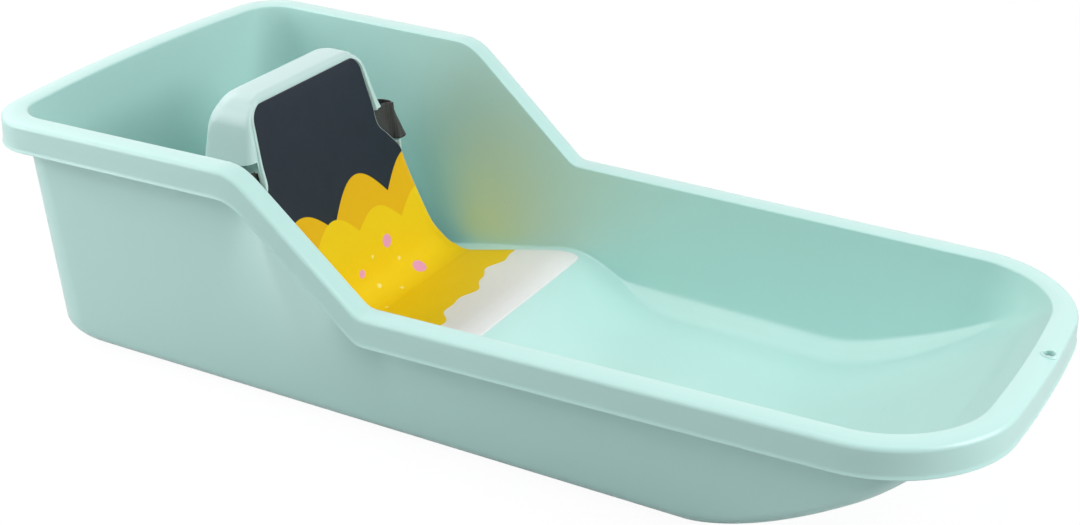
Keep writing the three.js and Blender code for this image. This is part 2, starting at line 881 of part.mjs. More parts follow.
// A strap's middle line and how it leans, from the lap behind the pad to its tail behind the buckle.
// Each stop is X, Y, the share of the backrest's tilt and the share of its flank's slope.
function strapStops(layer) {
  const inner = backPlane(belt.height, -pad.thickness - pad.fit - layer);
  const flank = halfAt(flankOutline, belt.height);
  const near = flank + belt.thickness / 2 + belt.clearance;
  const outerX = buckleX() + buckle.barThickness / 2 + belt.thickness / 2 + belt.layerGap;
  const backX = 2 * buckleX() - outerX;
  const barInner = buckle.end - buckle.bar;
  const round = barInner - (outerX - buckleX());
  const stops = [[inner, -belt.lap, 1, 0], [inner, 0, 1, 0], [inner, belt.slotInner, 1, 0], [inner, flank, 1, 0]];
  for (const [ahead, out, tilt, lean] of loopShares) {
    stops.push([inner + ahead * belt.loopRun, flank + out * belt.loopOut, tilt, lean]);
  }
  stops.push([back.rear + belt.tail / 2, near + belt.layerGap, 0, 1]);
  stops.push([back.rear - belt.thickness, near, 0, 1]);
  stops.push([runX() + belt.layerGap, flank - belt.tail / 2, 0, 0.5]);
  stops.push([runX(), flank - 1.5 * belt.tail, 0, 0]);
  stops.push([runX(), buckle.end + 1.5 * belt.tail, 0, 0]);
  stops.push([outerX, buckle.end, 0, 0]);
  stops.push([outerX, barInner, 0, 0]);
  stops.push([buckleX(), round, 0, 0]);
  stops.push([backX, barInner, 0, 0]);
  stops.push([backX, buckle.end, 0, 0]);
  stops.push([runX() - belt.thickness - belt.layerGap, buckle.end + belt.tail, 0, 0]);
  return stops;
}

function strap(toSide, layer) {
  const stops = strapStops(layer);
  const line = new THREE.CatmullRomCurve3(stops.map(([x, y]) => new THREE.Vector3(x, toSide * y, belt.height)));
  const lean = new THREE.CatmullRomCurve3(stops.map(([, , tilt, share]) => new THREE.Vector3(tilt, share, 0)));
  line.curveType = 'centripetal';
  lean.curveType = 'catmullrom';
  lean.tension = 0;
  const low = halfAt(flankOutline, belt.height - belt.width / 2);
  const high = halfAt(flankOutline, belt.height + belt.width / 2);
  const flankSlope = Math.atan((low - high) / belt.width);
  const rings = [];
  for (let i = 0; i <= webSteps; i++) {
    const t = line.getUtoTmapping(i / webSteps);
    const point = line.getPoint(t);
    const share = lean.getPoint(t);
    const tangent = line.getTangent(t);
    const up = new THREE.Vector3(-Math.tan(back.tilt) * share.x, -toSide * Math.tan(flankSlope) * share.y, 1);
    up.addScaledVector(tangent, -up.dot(tangent)).normalize();
    const out = new THREE.Vector3().crossVectors(tangent, up);
    const corners = [[1, 1], [-1, 1], [-1, -1], [1, -1]];
    rings.push(corners.map(([across, along]) => {
      const corner = point.clone().addScaledVector(out, (across * belt.thickness) / 2);
      return corner.addScaledVector(up, (along * belt.width) / 2).toArray();
    }));
  }
  return loft(rings, 'fan');
}

// The clasp, closed behind the backrest, and the slide on the strap beside it. The tongue's broad head lies in
// a pocket that opens to the rear and pulls against the pocket's shoulders. It is lifted out rearwards.

function buckleX() {
  return runX() - belt.thickness - belt.layerGap;
}

// A plate in the plane of the strap with rounded corners, centred on the belt's height.
function beltPlate(fromY, toY, halfHeight, corner, depth) {
  const shape = new THREE.Shape();
  const corners = [[toY, halfHeight], [fromY, halfHeight], [fromY, -halfHeight], [toY, -halfHeight]];
  const points = [];
  corners.forEach(([y, z], i) => {
    const centre = [y - Math.sign(y - fromY - corner) * corner, z - Math.sign(z) * corner];
    for (let k = 0; k <= arcSteps; k++) {
      const a = (Math.PI / 2) * (i + k / arcSteps);
      points.push(new THREE.Vector2(centre[0] + corner * Math.cos(a), centre[1] + corner * Math.sin(a)));
    }
  });
  shape.setFromPoints(points);
  const geometry = new THREE.ExtrudeGeometry(shape, { depth, bevelEnabled: false });
  geometry.rotateY(Math.PI / 2);
  geometry.rotateX(Math.PI / 2);
  geometry.translate(buckleX() - depth / 2, 0, belt.height);
  return geometry;
}

function beltBox(fromY, toY, fromZ, toZ, depth) {
  const x = buckleX();
  const z = belt.height;
  return boxBetween([x - depth / 2, fromY, z + fromZ], [x + depth / 2, toY, z + toZ]);
}

// Cuts the strap's way round a bar at one end of a buckle half.
function cutBar(body, toSide) {
  const half = belt.width / 2 + belt.clearance;
  const inner = buckle.end - buckle.bar;
  const spans = [inner - buckle.barSlot, inner, buckle.end + overrun].map((y) => toSide * y);
  const [slotFrom, slotTo] = [spans[0], spans[1]].sort((a, b) => a - b);
  const [from, to] = [spans[0], spans[2]].sort((a, b) => a - b);
  const around = solid(beltBox(from, to, -half, half, 2 * buckle.thickness));
  const bar = solid(beltBox(from, to, -half, half, buckle.barThickness));
  return body.subtract(around.subtract(bar)).subtract(solid(beltBox(slotFrom, slotTo, -half, half, buckle.thickness)));
}

// Cuts or fills the pocket's shape: the head's room, and the neck's way to the mouth.
function hookShape(fit) {
  const x = buckleX();
  const z = belt.height;
  const headTo = buckle.mouth - buckle.shoulder;
  const headFrom = headTo - buckle.headLength;
  const outer = x - buckle.thickness / 2 - fit;
  const inner = x + buckle.thickness / 2 - buckle.wall - buckle.fit + fit;
  const block = (fromY, toY, half) => {
    return solid(boxBetween([outer, fromY, z - half - fit], [inner, toY, z + half + fit]));
  };
  const head = block(headFrom - fit, headTo + fit, buckle.head);
  return head.add(block(headTo - buckle.wall, buckle.mouth + buckle.wall, buckle.neck));
}

function buckleSocket() {
  const body = solid(beltPlate(-buckle.end, buckle.mouth, buckle.halfHeight, buckle.corner, buckle.thickness));
  return cutBar(body.subtract(hookShape(buckle.fit)), -1);
}

function buckleTongue() {
  const from = buckle.mouth + buckle.fit;
  const body = solid(beltPlate(from, buckle.end, buckle.halfHeight, buckle.corner, buckle.thickness));
  return cutBar(body.add(hookShape(0)), 1);
}

function beltAdjuster() {
  const x = runX();
  const gap = belt.thickness / 2 + adjuster.fit;
  const room = belt.width / 2 + adjuster.fit;
  const outer = room + adjuster.cheek;
  const low = adjuster.centre - adjuster.halfLength;
  const high = adjuster.centre + adjuster.halfLength;
  const near = x + gap + adjuster.thickness;
  const far = x - gap - adjuster.thickness;
  const piece = (fromX, toX, fromY, toY, fromZ, toZ) => {
    return solid(boxBetween([fromX, fromY, belt.height + fromZ], [toX, toY, belt.height + toZ]));
  };
  let body = piece(far, near, low, high, room, outer).add(piece(far, near, low, high, -outer, -room));
  body = body.add(piece(far, x - gap, adjuster.centre - adjuster.bar / 2, adjuster.centre + adjuster.bar / 2, -outer, outer));
  body = body.add(piece(x + gap, near, low, low + adjuster.rail, -outer, outer));
  return body.add(piece(x + gap, near, high - adjuster.rail, high, -outer, outer));
}

const group = new THREE.Group();
const mint = { color: 0xa8d7cd, roughness: 0.42, metalness: 0 };
const finishes = {
  tub: mint,
  backrest: { ...mint, roughness: 0.3 },
  pad: { color: 0xf5c91a, roughness: 0.8, metalness: 0 },
  webbing: { color: 0x1d2022, roughness: 0.9, metalness: 0 },
  buckle: { color: 0x161819, roughness: 0.45, metalness: 0 },
  steel: { color: 0x9ea3a6, roughness: 0.35, metalness: 1 },
};

function addNode(name, geometry, finish) {
  const mesh = new THREE.Mesh(geometry, new THREE.MeshStandardMaterial(finishes[finish]));
  mesh.name = name;
  group.add(mesh);
}

addNode('tub_shell', geometryFrom(tubShell()), 'tub');
addNode('backrest_shell', geometryFrom(backrestShell()), 'backrest');
addNode('seat_pad', seatPad(), 'pad');
const firstLayer = belt.thickness / 2 + belt.layerGap;
addNode('belt_strap_near', strap(-1, firstLayer), 'webbing');
addNode('belt_strap_far', strap(1, firstLayer + belt.thickness + belt.layerGap), 'webbing');
addNode('buckle_socket', geometryFrom(buckleSocket()), 'buckle');
addNode('buckle_tongue', geometryFrom(buckleTongue()), 'buckle');
addNode('belt_adjuster', geometryFrom(beltAdjuster()), 'buckle');
screwPlaces().forEach((place, i) => addNode(`backrest_screw_${i + 1}`, screwGeometry(place), 'steel'));

export default group;
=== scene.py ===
"""Looks of the baby pull sled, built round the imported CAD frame.

Shapes are written in millimetres in the CAD's own frame (X from the rear to the nose, Y across, Z up), and
become metres where a mesh or the camera is made. Lights, floor and texture scales are in metres.
"""

import math
import bmesh
import bpy
import numpy as np
from mathutils import Matrix, Vector


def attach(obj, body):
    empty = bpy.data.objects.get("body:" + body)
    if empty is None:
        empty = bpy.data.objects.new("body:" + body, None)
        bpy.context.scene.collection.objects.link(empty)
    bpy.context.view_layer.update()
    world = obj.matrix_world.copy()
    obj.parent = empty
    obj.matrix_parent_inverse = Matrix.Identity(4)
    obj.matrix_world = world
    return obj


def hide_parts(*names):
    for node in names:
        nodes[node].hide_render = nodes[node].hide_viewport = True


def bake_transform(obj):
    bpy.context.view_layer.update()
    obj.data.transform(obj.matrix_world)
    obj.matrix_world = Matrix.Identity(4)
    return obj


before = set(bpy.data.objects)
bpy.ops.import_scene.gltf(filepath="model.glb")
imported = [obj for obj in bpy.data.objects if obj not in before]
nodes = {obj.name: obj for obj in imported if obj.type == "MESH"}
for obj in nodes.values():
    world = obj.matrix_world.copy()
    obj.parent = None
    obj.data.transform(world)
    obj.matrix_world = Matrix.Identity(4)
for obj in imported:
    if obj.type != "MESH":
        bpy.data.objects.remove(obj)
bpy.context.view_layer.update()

MM = 0.001

# Sizes of the tub's rim, with the rim line's points as X and height

LENGTH = 960.0
REAR_BOW, NOSE_BOW = 17.5, 12.8
RIM_REAR, RIM_NOSE = -LENGTH / 2 + REAR_BOW, LENGTH / 2 - NOSE_BOW
REAR_HALF, NOSE_HALF = 213.8, 186.0
REAR_CORNER, NOSE_CORNER = 44.0, 103.0
RIM_LINE = [(RIM_REAR, 238.0), (-180.7, 240.8), (-56.4, 133.8), (RIM_NOSE, 142.2)]
RIM_BLENDS = [15.0, 6.0]
FLANGE, INNER_EDGE, OUTER_EDGE, CROWN = 21.6, 2.0, 5.0, 0.7
SKIRT, SKIRT_FLARE, SKIRT_WALL, LIP_BEAD = 27.7, 0.8, 2.6, 0.9

# Sizes of the tub's walls, floor and underside. A pair is the X where a change begins and where it ends.

WALL = 3.0
RUNNER_DEPTH = 3.0
SET_REAR, SET_NOSE, SIDE_HEIGHT = 24.4, 21.6, 133.8
DRAFT = math.tan(math.radians(3.45))
REAR_FOOT, FILLET = 21.8, 15.5
RIM_CORNER_REAR, WALL_CORNER_REAR, FOOT_CORNER_REAR = 28.0, 46.6, 62.0
SCOOP_START, SCOOP_LENGTH, SCOOP_RISE, SCOOP_POWER = 236.6, 200.2, 110.0, 1.58
NOSE_FOOT, WALL_CORNER, FOOT_CORNER = 36.0, 60.0, 50.0
HUMP_REAR, HUMP_TOP, HUMP_FRONT, HUMP_RISE = -230.0, -41.0, 50.0, 40.5
HUMP_LINE = [(RIM_REAR, 0.0), (HUMP_REAR, 0.0), (HUMP_TOP, HUMP_RISE), (HUMP_FRONT, 0.0), (RIM_NOSE, 0.0)]
HUMP_BLENDS = [12.0, 24.0, 28.0]
STRIP_RISE, STRIP_NOSE, STRIP_REAR, STRIP_RATIO = 22.0, 8.0, 7.0, 0.84
STRIP_GROWS, STRIP_FADES = (-62.0, -30.0), (285.0, 425.0)
EDGE_REAR, EDGE_NOSE, EDGE_SIDE, EDGE_SHARE = 4.0, 5.0, 1.5, 0.35
CHEEK_REAR, CHEEK_FRONT = (-187.0, -148.0), (-84.0, -44.0)
CHEEK_FOOT, CHEEK_LAP, CHEEK_TUCK, CHEEK_REVEAL = 20.0, 25.0, 0.5, 0.6
CHEEK_DEPTHS = [WALL, 14.0, 24.0, 27.2, 28.0, 28.6, 29.6, 31.5, 34.0]
NOSE_EVENED, NOSE_ROUNDS = (385.0, 425.0), 30
BAY_REAR, BAY_FRONT, BAY_HALF, BAY_RIB, BAY_ROOF = -182.0, 22.0, 138.0, 3.0, 9.2
RUNNER_REAR, RUNNER_FRONT, RUNNER_SIDE = -405.0, 395.0, 112.0
RUNNER_HALF, RUNNER_EDGE, RUNNER_FADE = 7.0, 1.5, 30.0
ROPE_X, ROPE_Y, ROPE_HOLE = 471.4, 18.0, 4.8
COLLAR_WIDTH, COLLAR_RISE, COLLAR_ROUND = 1.6, 1.3, 0.7

# Sizes of the backrest and its screws. A span is the heights between which a change goes, and two widths or
# rises are those below and above it. The ridge's section goes inwards, in shares of its rise and width.

BACK_X, BACK_TOP, BACK_REAR, BACK_CROWN = -251.2, 246.0, -298.0, 7.0
BACK_PEAK = BACK_TOP + BACK_CROWN
TILT = math.radians(14)
BACK_TOP_CORNER, BACK_REAR_EDGE, BACK_FRONT_EDGE, BACK_REAR_CORNER = 26.0, 22.0, 5.0, 8.0
SHOULDER = 7.6
REAR_CORNER_SPAN = (BACK_PEAK - 34.0, BACK_PEAK - 6.0)
NARROWER, NARROWER_SPAN = 6.4, (118.0, 165.0)
SET_BACK, SET_BACK_SPAN = 3.6, (134.0, 147.0)
RIDGE_START_SPAN, RIDGE_END_SPAN = (138.0, 150.0), (236.0, 249.0)
RIDGE_WIDTHS, RIDGE_WIDTH_SPAN = (4.2, 2.2), (165.0, 232.0)
RIDGE_RISES, RIDGE_RISE_SPAN = (3.0, 1.2), (172.0, 232.0)
RIDGE_UP = np.array([0.35, 0.75, 0.97, 1.0, 0.92, 0.6])
RIDGE_ACROSS = np.array([0.96, 0.84, 0.64, 0.4, 0.16, 0.02])
SCREW_HOLE, SCREW_REAR_IN, SCREW_REAR_SIDE, SCREW_FRONT_IN, SCREW_FRONT_SIDE = 2.7, 8.0, 80.0, 23.1, 94.0

# Sizes of the pad, with half widths of pad and flanks as shares of PAD_HALF, and their heights of BACK_TOP

PAD_THICK, PAD_FIT, PAD_BEND, PAD_HALF, PAD_NOSE = 5.0, 0.5, 30.0, 158.0, -35.0
PAD_TOP_CORNER, PAD_NOSE_CORNER = 17.0, 11.0
PAD_EDGE, PAD_CROWN, PRINT_EDGE = 1.3, 0.9, 1.3
PAD_LIFT, PAD_LIFT_FROM_NOSE = 1.1, (190.0, 140.0)
PAD_FLARE, PAD_FLARE_FROM_NOSE = 6.5, (150.0, 40.0)
PAD_WIDTHS = [0.99, 0.945, 0.885, 0.812, 0.755, 0.742, 0.655, 0.577, 0.568, 0.549, 0.535]
PAD_HEIGHTS = [0.07, 0.145, 0.21, 0.36, 0.51, 0.57, 0.64, 0.7, 0.78, 0.9, 1]
FLANK_WIDTHS = [1.04, 0.996, 0.936, 0.863, 0.791, 0.648, 0.571]
FLANK_HEIGHTS = [0.07, 0.145, 0.21, 0.36, 0.57, 0.8, 1]

# Sizes of the belt and of its way through the backrest

BELT_WIDTH, BELT_THICK, BELT_Z = 38.0, 1.8, 166.0
BELT_GAP, SLOT_FIT = 0.4, 1.4
RUN_X = BACK_REAR - 3.7 - BELT_THICK / 2
BUCKLE_X = RUN_X - BELT_THICK - BELT_GAP
BUCKLE_END, BAR_IN, BAR_RADIUS, TAIL = 42.0, 5.0, 2.2, 12.0
LOOP_OUT, LOOP_RUN = 17.0, 16.0
STRAP_START, SLOT_INNER_END = -26.0, 84.0

# Cuts for the belt: from which Y to which, how far behind and ahead of the recess's floor, and how much
# longer the cut is at its upper end

BELT_CUTS = [
    (-PAD_HALF, PAD_HALF, 5.2, 2.6, 0.0),
    (-PAD_HALF, -SLOT_INNER_END, 11.0, 2.6, 0.0),
    (SLOT_INNER_END, PAD_HALF, 11.0, 2.6, 0.0),
    (-PAD_HALF, -94.6, 15.0, 12.0, 10.5),
    (86.0, PAD_HALF, 5.2, 12.0, 0.0),
]

# Stops of the belt's two loops beside the slots: share of LOOP_RUN ahead, share of LOOP_OUT outwards, share
# of the backrest's tilt, share of its flank's slope, and rise

NEAR_LOOP = [
    (0.1, 0.55, 1, 0, 5), (0.06, 0.9, 0.7, 0.4, 4.5), (-0.4, 1, 0.2, 0.8, 3.5), (-1.1, 0.75, 0, 1, 2),
    (-2.2, 0.3, 0, 1, 0.5),
]
FAR_LOOP = [
    (0.15, 0.2, 1.2, 0, 0), (0.45, 0.48, 1.9, 0.1, 0), (0.2, 0.85, 1.8, 0.3, 0), (-0.5, 1, 1.0, 0.7, 0),
    (-1.3, 0.85, 0.3, 1, 0), (-2.4, 0.45, 0, 1, 0),
]


# Numbers and lines


def smooth(x, low, high):
    """Goes from 0 at low to 1 at high on a cubic that is level at both ends."""
    t = np.clip((x - low) / (high - low), 0, 1)
    return t * t * (3 - 2 * t)


def lerp(a, b, t):
    return a + (b - a) * t


def unit(rows):
    return rows / np.linalg.norm(rows, axis=1)[:, None]


def run_along(points):
    """The length of a broken line up to each of its points."""
    return np.concatenate([[0], np.cumsum(np.linalg.norm(np.diff(points, axis=0), axis=1))])


def evenly(points, count):
    """Points spaced evenly along a broken line by its first two columns, and the length up to each."""
    run = run_along(points[:, :2])
    even = np.linspace(0, run[-1], count)
    return np.column_stack([np.interp(even, run, column) for column in points.T]), even


def rounded_line(points, blends, x):
    """A broken line's height at x, with each inner corner rounded by a parabola over its own half length."""
    px, pz = np.array(points, float).T
    slope = np.diff(pz) / np.diff(px)
    x = np.asarray(x, float)
    k = np.clip(np.searchsorted(px, x) - 1, 0, len(slope) - 1)
    z = pz[k] + slope[k] * (x - px[k])
    for i, blend in enumerate(blends, 1):
        t = (x - px[i] + blend) / (2 * blend)
        arc = pz[i] + slope[i - 1] * (x - px[i]) + (slope[i] - slope[i - 1]) * blend * t * t
        z = np.where((t > 0) & (t < 1), arc, z)
    return z


def soft_curve(points, count):
    """Evenly spaced points on a smooth curve through the given ones. Each stretch blends the straight lines
    near it, timed by the square root of the gaps, so that uneven gaps make no loops."""
    p = np.asarray(points, float)
    p = np.concatenate([[2 * p[0] - p[1]], p, [2 * p[-1] - p[-2]]])
    gap = np.sqrt(np.maximum(np.linalg.norm(np.diff(p[:, :2], axis=0), axis=1), 1e-4))
    out = []
    for i in range(1, len(p) - 2):
        time = np.cumsum([0.0, *gap[i - 1:i + 2]])
        t = np.linspace(time[1], time[2], 24, endpoint=False)[:, None]

        def share(k, m):
            return (t - time[k]) / (time[m] - time[k])

        first = [lerp(p[i - 1 + k], p[i + k], share(k, k + 1)) for k in range(3)]
        second = [lerp(first[k], first[k + 1], share(k, k + 2)) for k in range(2)]
        out.append(lerp(second[0], second[1], share(1, 2)))
    return evenly(np.concatenate(out + [p[-2][None]]), count)[0]


# The tub's surfaces


def length_share(x):
    return (x - RIM_REAR) / (RIM_NOSE - RIM_REAR)


def rim_half(x):
    return lerp(REAR_HALF, NOSE_HALF, length_share(x))


def rim_top(x):
    return rounded_line(RIM_LINE, RIM_BLENDS, x)


def bottom_z(x):
    """The underside's height: level, then the scoop's power curve up to the ring where the bottom ends."""
    t = np.maximum(0, np.minimum(x, LENGTH / 2 - NOSE_FOOT) - SCOOP_START) / SCOOP_LENGTH
    return RUNNER_DEPTH + SCOOP_RISE * t**SCOOP_POWER


def floor_top(x):
    """The inner floor: one wall above the underside, square to the scoop, plus the thigh hump."""
    t = np.maximum(0, x - SCOOP_START) / SCOOP_LENGTH
    slope = SCOOP_RISE / SCOOP_LENGTH * SCOOP_POWER * t ** (SCOOP_POWER - 1)
    return bottom_z(x) + WALL * np.sqrt(1 + slope * slope) + rounded_line(HUMP_LINE, HUMP_BLENDS, x)


def wall_foot(x):
    """Where the side wall starts: above a sloping strip in front of the hump, near the floor behind it."""
    front = lerp(STRIP_RISE, STRIP_NOSE, smooth(x, *STRIP_FADES))
    rise = lerp(STRIP_REAR, front, smooth(x, *STRIP_GROWS))
    return np.maximum(floor_top(x) + INNER_EDGE, bottom_z(x) + rise)


def wall_inset(x, z):
    return lerp(SET_REAR, SET_NOSE, length_share(x)) + DRAFT * (SIDE_HEIGHT - z)


# Meshes


def make_object(name, mesh):
    obj = bpy.data.objects.new(name, mesh)
    bpy.context.scene.collection.objects.link(obj)
    return obj


def build(name, points, faces, merge=1e-6):
    """A clean mesh object from an array of points in millimetres and a list of face arrays."""
    mesh = bpy.data.meshes.new(name)
    corners = [face for block in faces for face in block.tolist()]
    mesh.from_pydata((np.asarray(points, float) * MM).tolist(), [], corners)
    bm = bmesh.new()
    bm.from_mesh(mesh)
    bmesh.ops.remove_doubles(bm, verts=bm.verts, dist=merge)
    bmesh.ops.dissolve_degenerate(bm, edges=bm.edges, dist=merge)
    bmesh.ops.recalc_face_normals(bm, faces=bm.faces)
    bm.to_mesh(mesh)
    bm.free()
    return make_object(name, mesh)


def quads(rows, cols, start=0, wrap=False):
    """Faces of a grid of points held row by row; wrap joins the last column to the first."""
    r = np.arange(rows - 1)[:, None]
    c = np.arange(cols if wrap else cols - 1)[None, :]
    a = start + r * cols + c
    b = start + r * cols + (c + 1) % cols
    return np.stack([a, b, b + cols, a + cols], -1).reshape(-1, 4)


def tube(name, rings, merge=1e-6):
    """Closed rings joined one to the next, with a face over the first and the last."""
    rings = np.asarray(rings, float)
    n, m = rings.shape[:2]
    caps = [np.arange(m)[None, ::-1], np.arange((n - 1) * m, n * m)[None, :]]
    return build(name, rings.reshape(-1, 3), [quads(n, m, wrap=True), *caps], merge)


def slab(outline, low, high):
    """An outline in X and Z made solid from one Y to another, for cutting."""
    x, z = np.asarray(outline, float).T
    return tube("cutter", [np.column_stack([x, np.full(len(x), y), z]) for y in (low, high)])


def round_bar(x, y, low, high, radius, sides=48):
    """An upright bar from one height to another, for cutting."""
    a = np.linspace(0, 2 * np.pi, sides, endpoint=False)
    ring = np.column_stack([x + radius * np.cos(a), y + radius * np.sin(a), np.zeros(sides)])
    return tube("cutter", [ring + [0, 0, low], ring + [0, 0, high]])


def cut(obj, cutters):
    """Takes the cutters out of obj, and removes them."""
    for cutter in cutters:
        mod = obj.modifiers.new("cut", "BOOLEAN")
        mod.operation = "DIFFERENCE"
        mod.object = cutter
        mod.solver = "MANIFOLD"
    graph = bpy.context.evaluated_depsgraph_get()
    mesh = bpy.data.meshes.new_from_object(obj.evaluated_get(graph))
    mesh.name = obj.name
    obj.modifiers.clear()
    obj.data = mesh
    for cutter in cutters:
        bpy.data.objects.remove(cutter)
    return obj


def keep(obj, name, values):
    """A float for each vertex, which a material reads by its name."""
    made = obj.data.attributes.new(name, "FLOAT", "POINT")
    made.data.foreach_set("value", np.asarray(values, np.float32))


# The tub. Every plan ring has points at these X stations along its sides.

FIRST = RIM_REAR + REAR_FOOT + FILLET + FOOT_CORNER_REAR + 6
LAST = RIM_NOSE - FLANGE - NOSE_CORNER - 6
STATIONS = np.linspace(FIRST, LAST, 150)
END_STEPS, CORNER_STEPS = 18, 25


def half_plan(rear_in, nose_in, side, rear_corner, nose_corner):
    """Half of a plan ring from the rear's middle to the nose's middle: a trapezium with rounded corners whose
    rear and nose bow outwards, set in from the rim by side(x)."""
    def half(x):
        return rim_half(x) - side(x)

    rear, nose = RIM_REAR + rear_in, RIM_NOSE - nose_in
    rear_flat = half(rear + rear_corner) - rear_corner
    nose_flat = half(nose - nose_corner) - nose_corner
    a = np.linspace(0, np.pi / 2, CORNER_STEPS)
    step = np.arange(END_STEPS) / END_STEPS
    rear_link = np.linspace(rear + rear_corner, FIRST, 5)[1:-1]
    nose_link = np.linspace(LAST, nose - nose_corner, 6)[1:-1]
    sides = np.concatenate([rear_link, STATIONS, nose_link])
    stretches = [
        (np.full(END_STEPS, rear), rear_flat * step),
        (rear + rear_corner * (1 - np.cos(a)), rear_flat + rear_corner * np.sin(a)),
        (sides, half(sides)),
        (nose - nose_corner * (1 - np.sin(a)), nose_flat + nose_corner * np.cos(a)),
        (np.full(END_STEPS, nose), nose_flat * step[::-1]),
    ]
    x, y = np.concatenate([np.array(stretch) for stretch in stretches], axis=1)
    nose_reach, rear_reach = 1.2 * nose_corner, 1.5 * rear_corner
    nose_part = NOSE_BOW * np.clip((x - nose + nose_reach) / nose_reach, 0, 1) * (1 - (y / NOSE_HALF) ** 2)
    rear_part = REAR_BOW * np.clip((rear + rear_reach - x) / rear_reach, 0, 1) * (1 - (y / REAR_HALF) ** 2)
    return x + nose_part - rear_part, y


def ring(half, height):
    """The whole ring: the near side from the rear to the nose, then the far side back."""
    x, y = half
    z = height(x)
    near = np.column_stack([x, -y, z])
    far = np.column_stack([x, y, z])[1:-1][::-1]
    return np.concatenate([near, far])


def rim_ring(inset, drop):
    """A ring that keeps one inset from the rim's outline and one drop below its top line."""
    rear_corner = max(REAR_CORNER - inset, RIM_CORNER_REAR)
    half = half_plan(inset, inset, lambda x: inset, rear_corner, NOSE_CORNER - inset)
    return ring(half, lambda x: rim_top(x) - drop)


def rim_edge(inset, radius, start, end, steps):
    """Rings over a rounded edge of the flange, whose section is an arc about a centre at that inset."""
    return [
        rim_ring(inset + radius * math.cos(a), radius - radius * math.sin(a))
        for a in np.linspace(start, end, steps)
    ]


def bend(a, corner, b, steps):
    """Rings on a parabola from ring a to ring b that would meet at ring corner."""
    return [(1 - t) ** 2 * a + 2 * t * (1 - t) * corner + t * t * b for t in np.linspace(0, 1, steps)]


def floor_rings():
    """Rings from the floor over the soft lower edge of the strip and up it, with half the plan of the first
    one and the ring at the strip's crisp upper edge."""
    def foot_side(x):
        return wall_inset(x, wall_foot(x)) + WALL

    def strip_width(x):
        return STRIP_RATIO * (wall_foot(x) - floor_top(x))

    rear, nose = REAR_FOOT + WALL, NOSE_FOOT + STRIP_NOSE
    foot = ring(half_plan(rear, nose, foot_side, FOOT_CORNER_REAR, FOOT_CORNER), wall_foot)
    rear, nose, nose_corner = rear + STRIP_REAR, nose + STRIP_NOSE, FOOT_CORNER - STRIP_NOSE
    edge_half = half_plan(rear, nose, lambda x: foot_side(x) + strip_width(x), FOOT_CORNER_REAR, nose_corner)
    edge = ring(edge_half, floor_top)
    inner_half = half_plan(
        rear + EDGE_REAR, nose + EDGE_NOSE,
        lambda x: foot_side(x) + (1 + EDGE_SHARE) * strip_width(x) + EDGE_SIDE,
        FOOT_CORNER_REAR, nose_corner - EDGE_NOSE)
    rings = bend(ring(inner_half, floor_top), edge, lerp(edge, foot, 0.42), 7)
    rings += [lerp(edge, foot, t) for t in (0.55, 0.7)]
    return inner_half, rings, foot


def rim_rings():
    """From the wall's top over the inner edge, across the crowned flange, over the outer edge, down the
    flaring skirt, round its beaded lip and up its inside to the flange's underside."""
    rings = rim_edge(FLANGE, INNER_EDGE, 0, np.pi / 2, 6)
    width = FLANGE - OUTER_EDGE - SKIRT_FLARE
    rings += [rim_ring(FLANGE - t * width, -4 * CROWN * t * (1 - t)) for t in np.linspace(0, 1, 9)[1:-1]]
    rings += rim_edge(OUTER_EDGE + SKIRT_FLARE, OUTER_EDGE, np.pi / 2, np.pi, 9)
    lip = SKIRT_WALL / 2
    lip_drop = SKIRT - lip
    rings += [rim_ring(SKIRT_FLARE * (1 - t), lerp(OUTER_EDGE, lip_drop, t)) for t in (0.3, 0.6, 0.8)]
    rings += [rim_ring(inset, lip_drop - above) for inset, above in ((0.1, 2.6), (-0.35, 1.5))]
    for a in np.linspace(0, np.pi, 9):
        rings.append(rim_ring(lip - (lip + LIP_BEAD) * math.cos(a), lip_drop + lip * math.sin(a)))
    rings.append(rim_ring(SKIRT_WALL + SKIRT_FLARE, OUTER_EDGE))
    rings.append(rim_ring(OUTER_EDGE + SKIRT_FLARE, WALL))
    return rings


def fillet_half(inward, up, share):
    """Half of a plan ring on the fillet between the outer side and the bottom."""
    return half_plan(
        REAR_FOOT + inward, NOSE_FOOT - up, lambda x: wall_inset(x, bottom_z(x) + up) + inward,
        lerp(WALL_CORNER_REAR, FOOT_CORNER_REAR, share), lerp(WALL_CORNER, FOOT_CORNER, share))


def outer_wall():
    """Rings of the outer side, from the flange's underside down and round the fillet to the bottom, with the
    cheek below the rim's slope, and half the plan of the last one. The first ones keep to set depths below
    the rim, close together at the skirt's lower edge, but take no more than a growing share of the wall."""
    fillet = []
    for a in np.linspace(0, np.pi / 2, 9):
        inward, up = FILLET * (1 - math.cos(a)), FILLET * (1 - math.sin(a))
        half = fillet_half(inward, up, a / (np.pi / 2))
        fillet.append(ring(half, lambda x: bottom_z(x) + up))
    top, low = rim_ring(FLANGE + INNER_EDGE - WALL, WALL), fillet[0]
    height = np.maximum(top[:, 2] - low[:, 2], 1e-6)
    shares = [
        np.minimum(np.clip((depth - WALL) / height, 0, 1), 0.02 + 0.035 * i)
        for i, depth in enumerate(CHEEK_DEPTHS)
    ]
    shares += [lerp(shares[-1], 1, step / 13) for step in range(1, 13)]
    wall = [lerp(top, low, share[:, None]) for share in shares]
    return [cheek(points) for points in wall + fillet[:5]] + fillet[5:], half


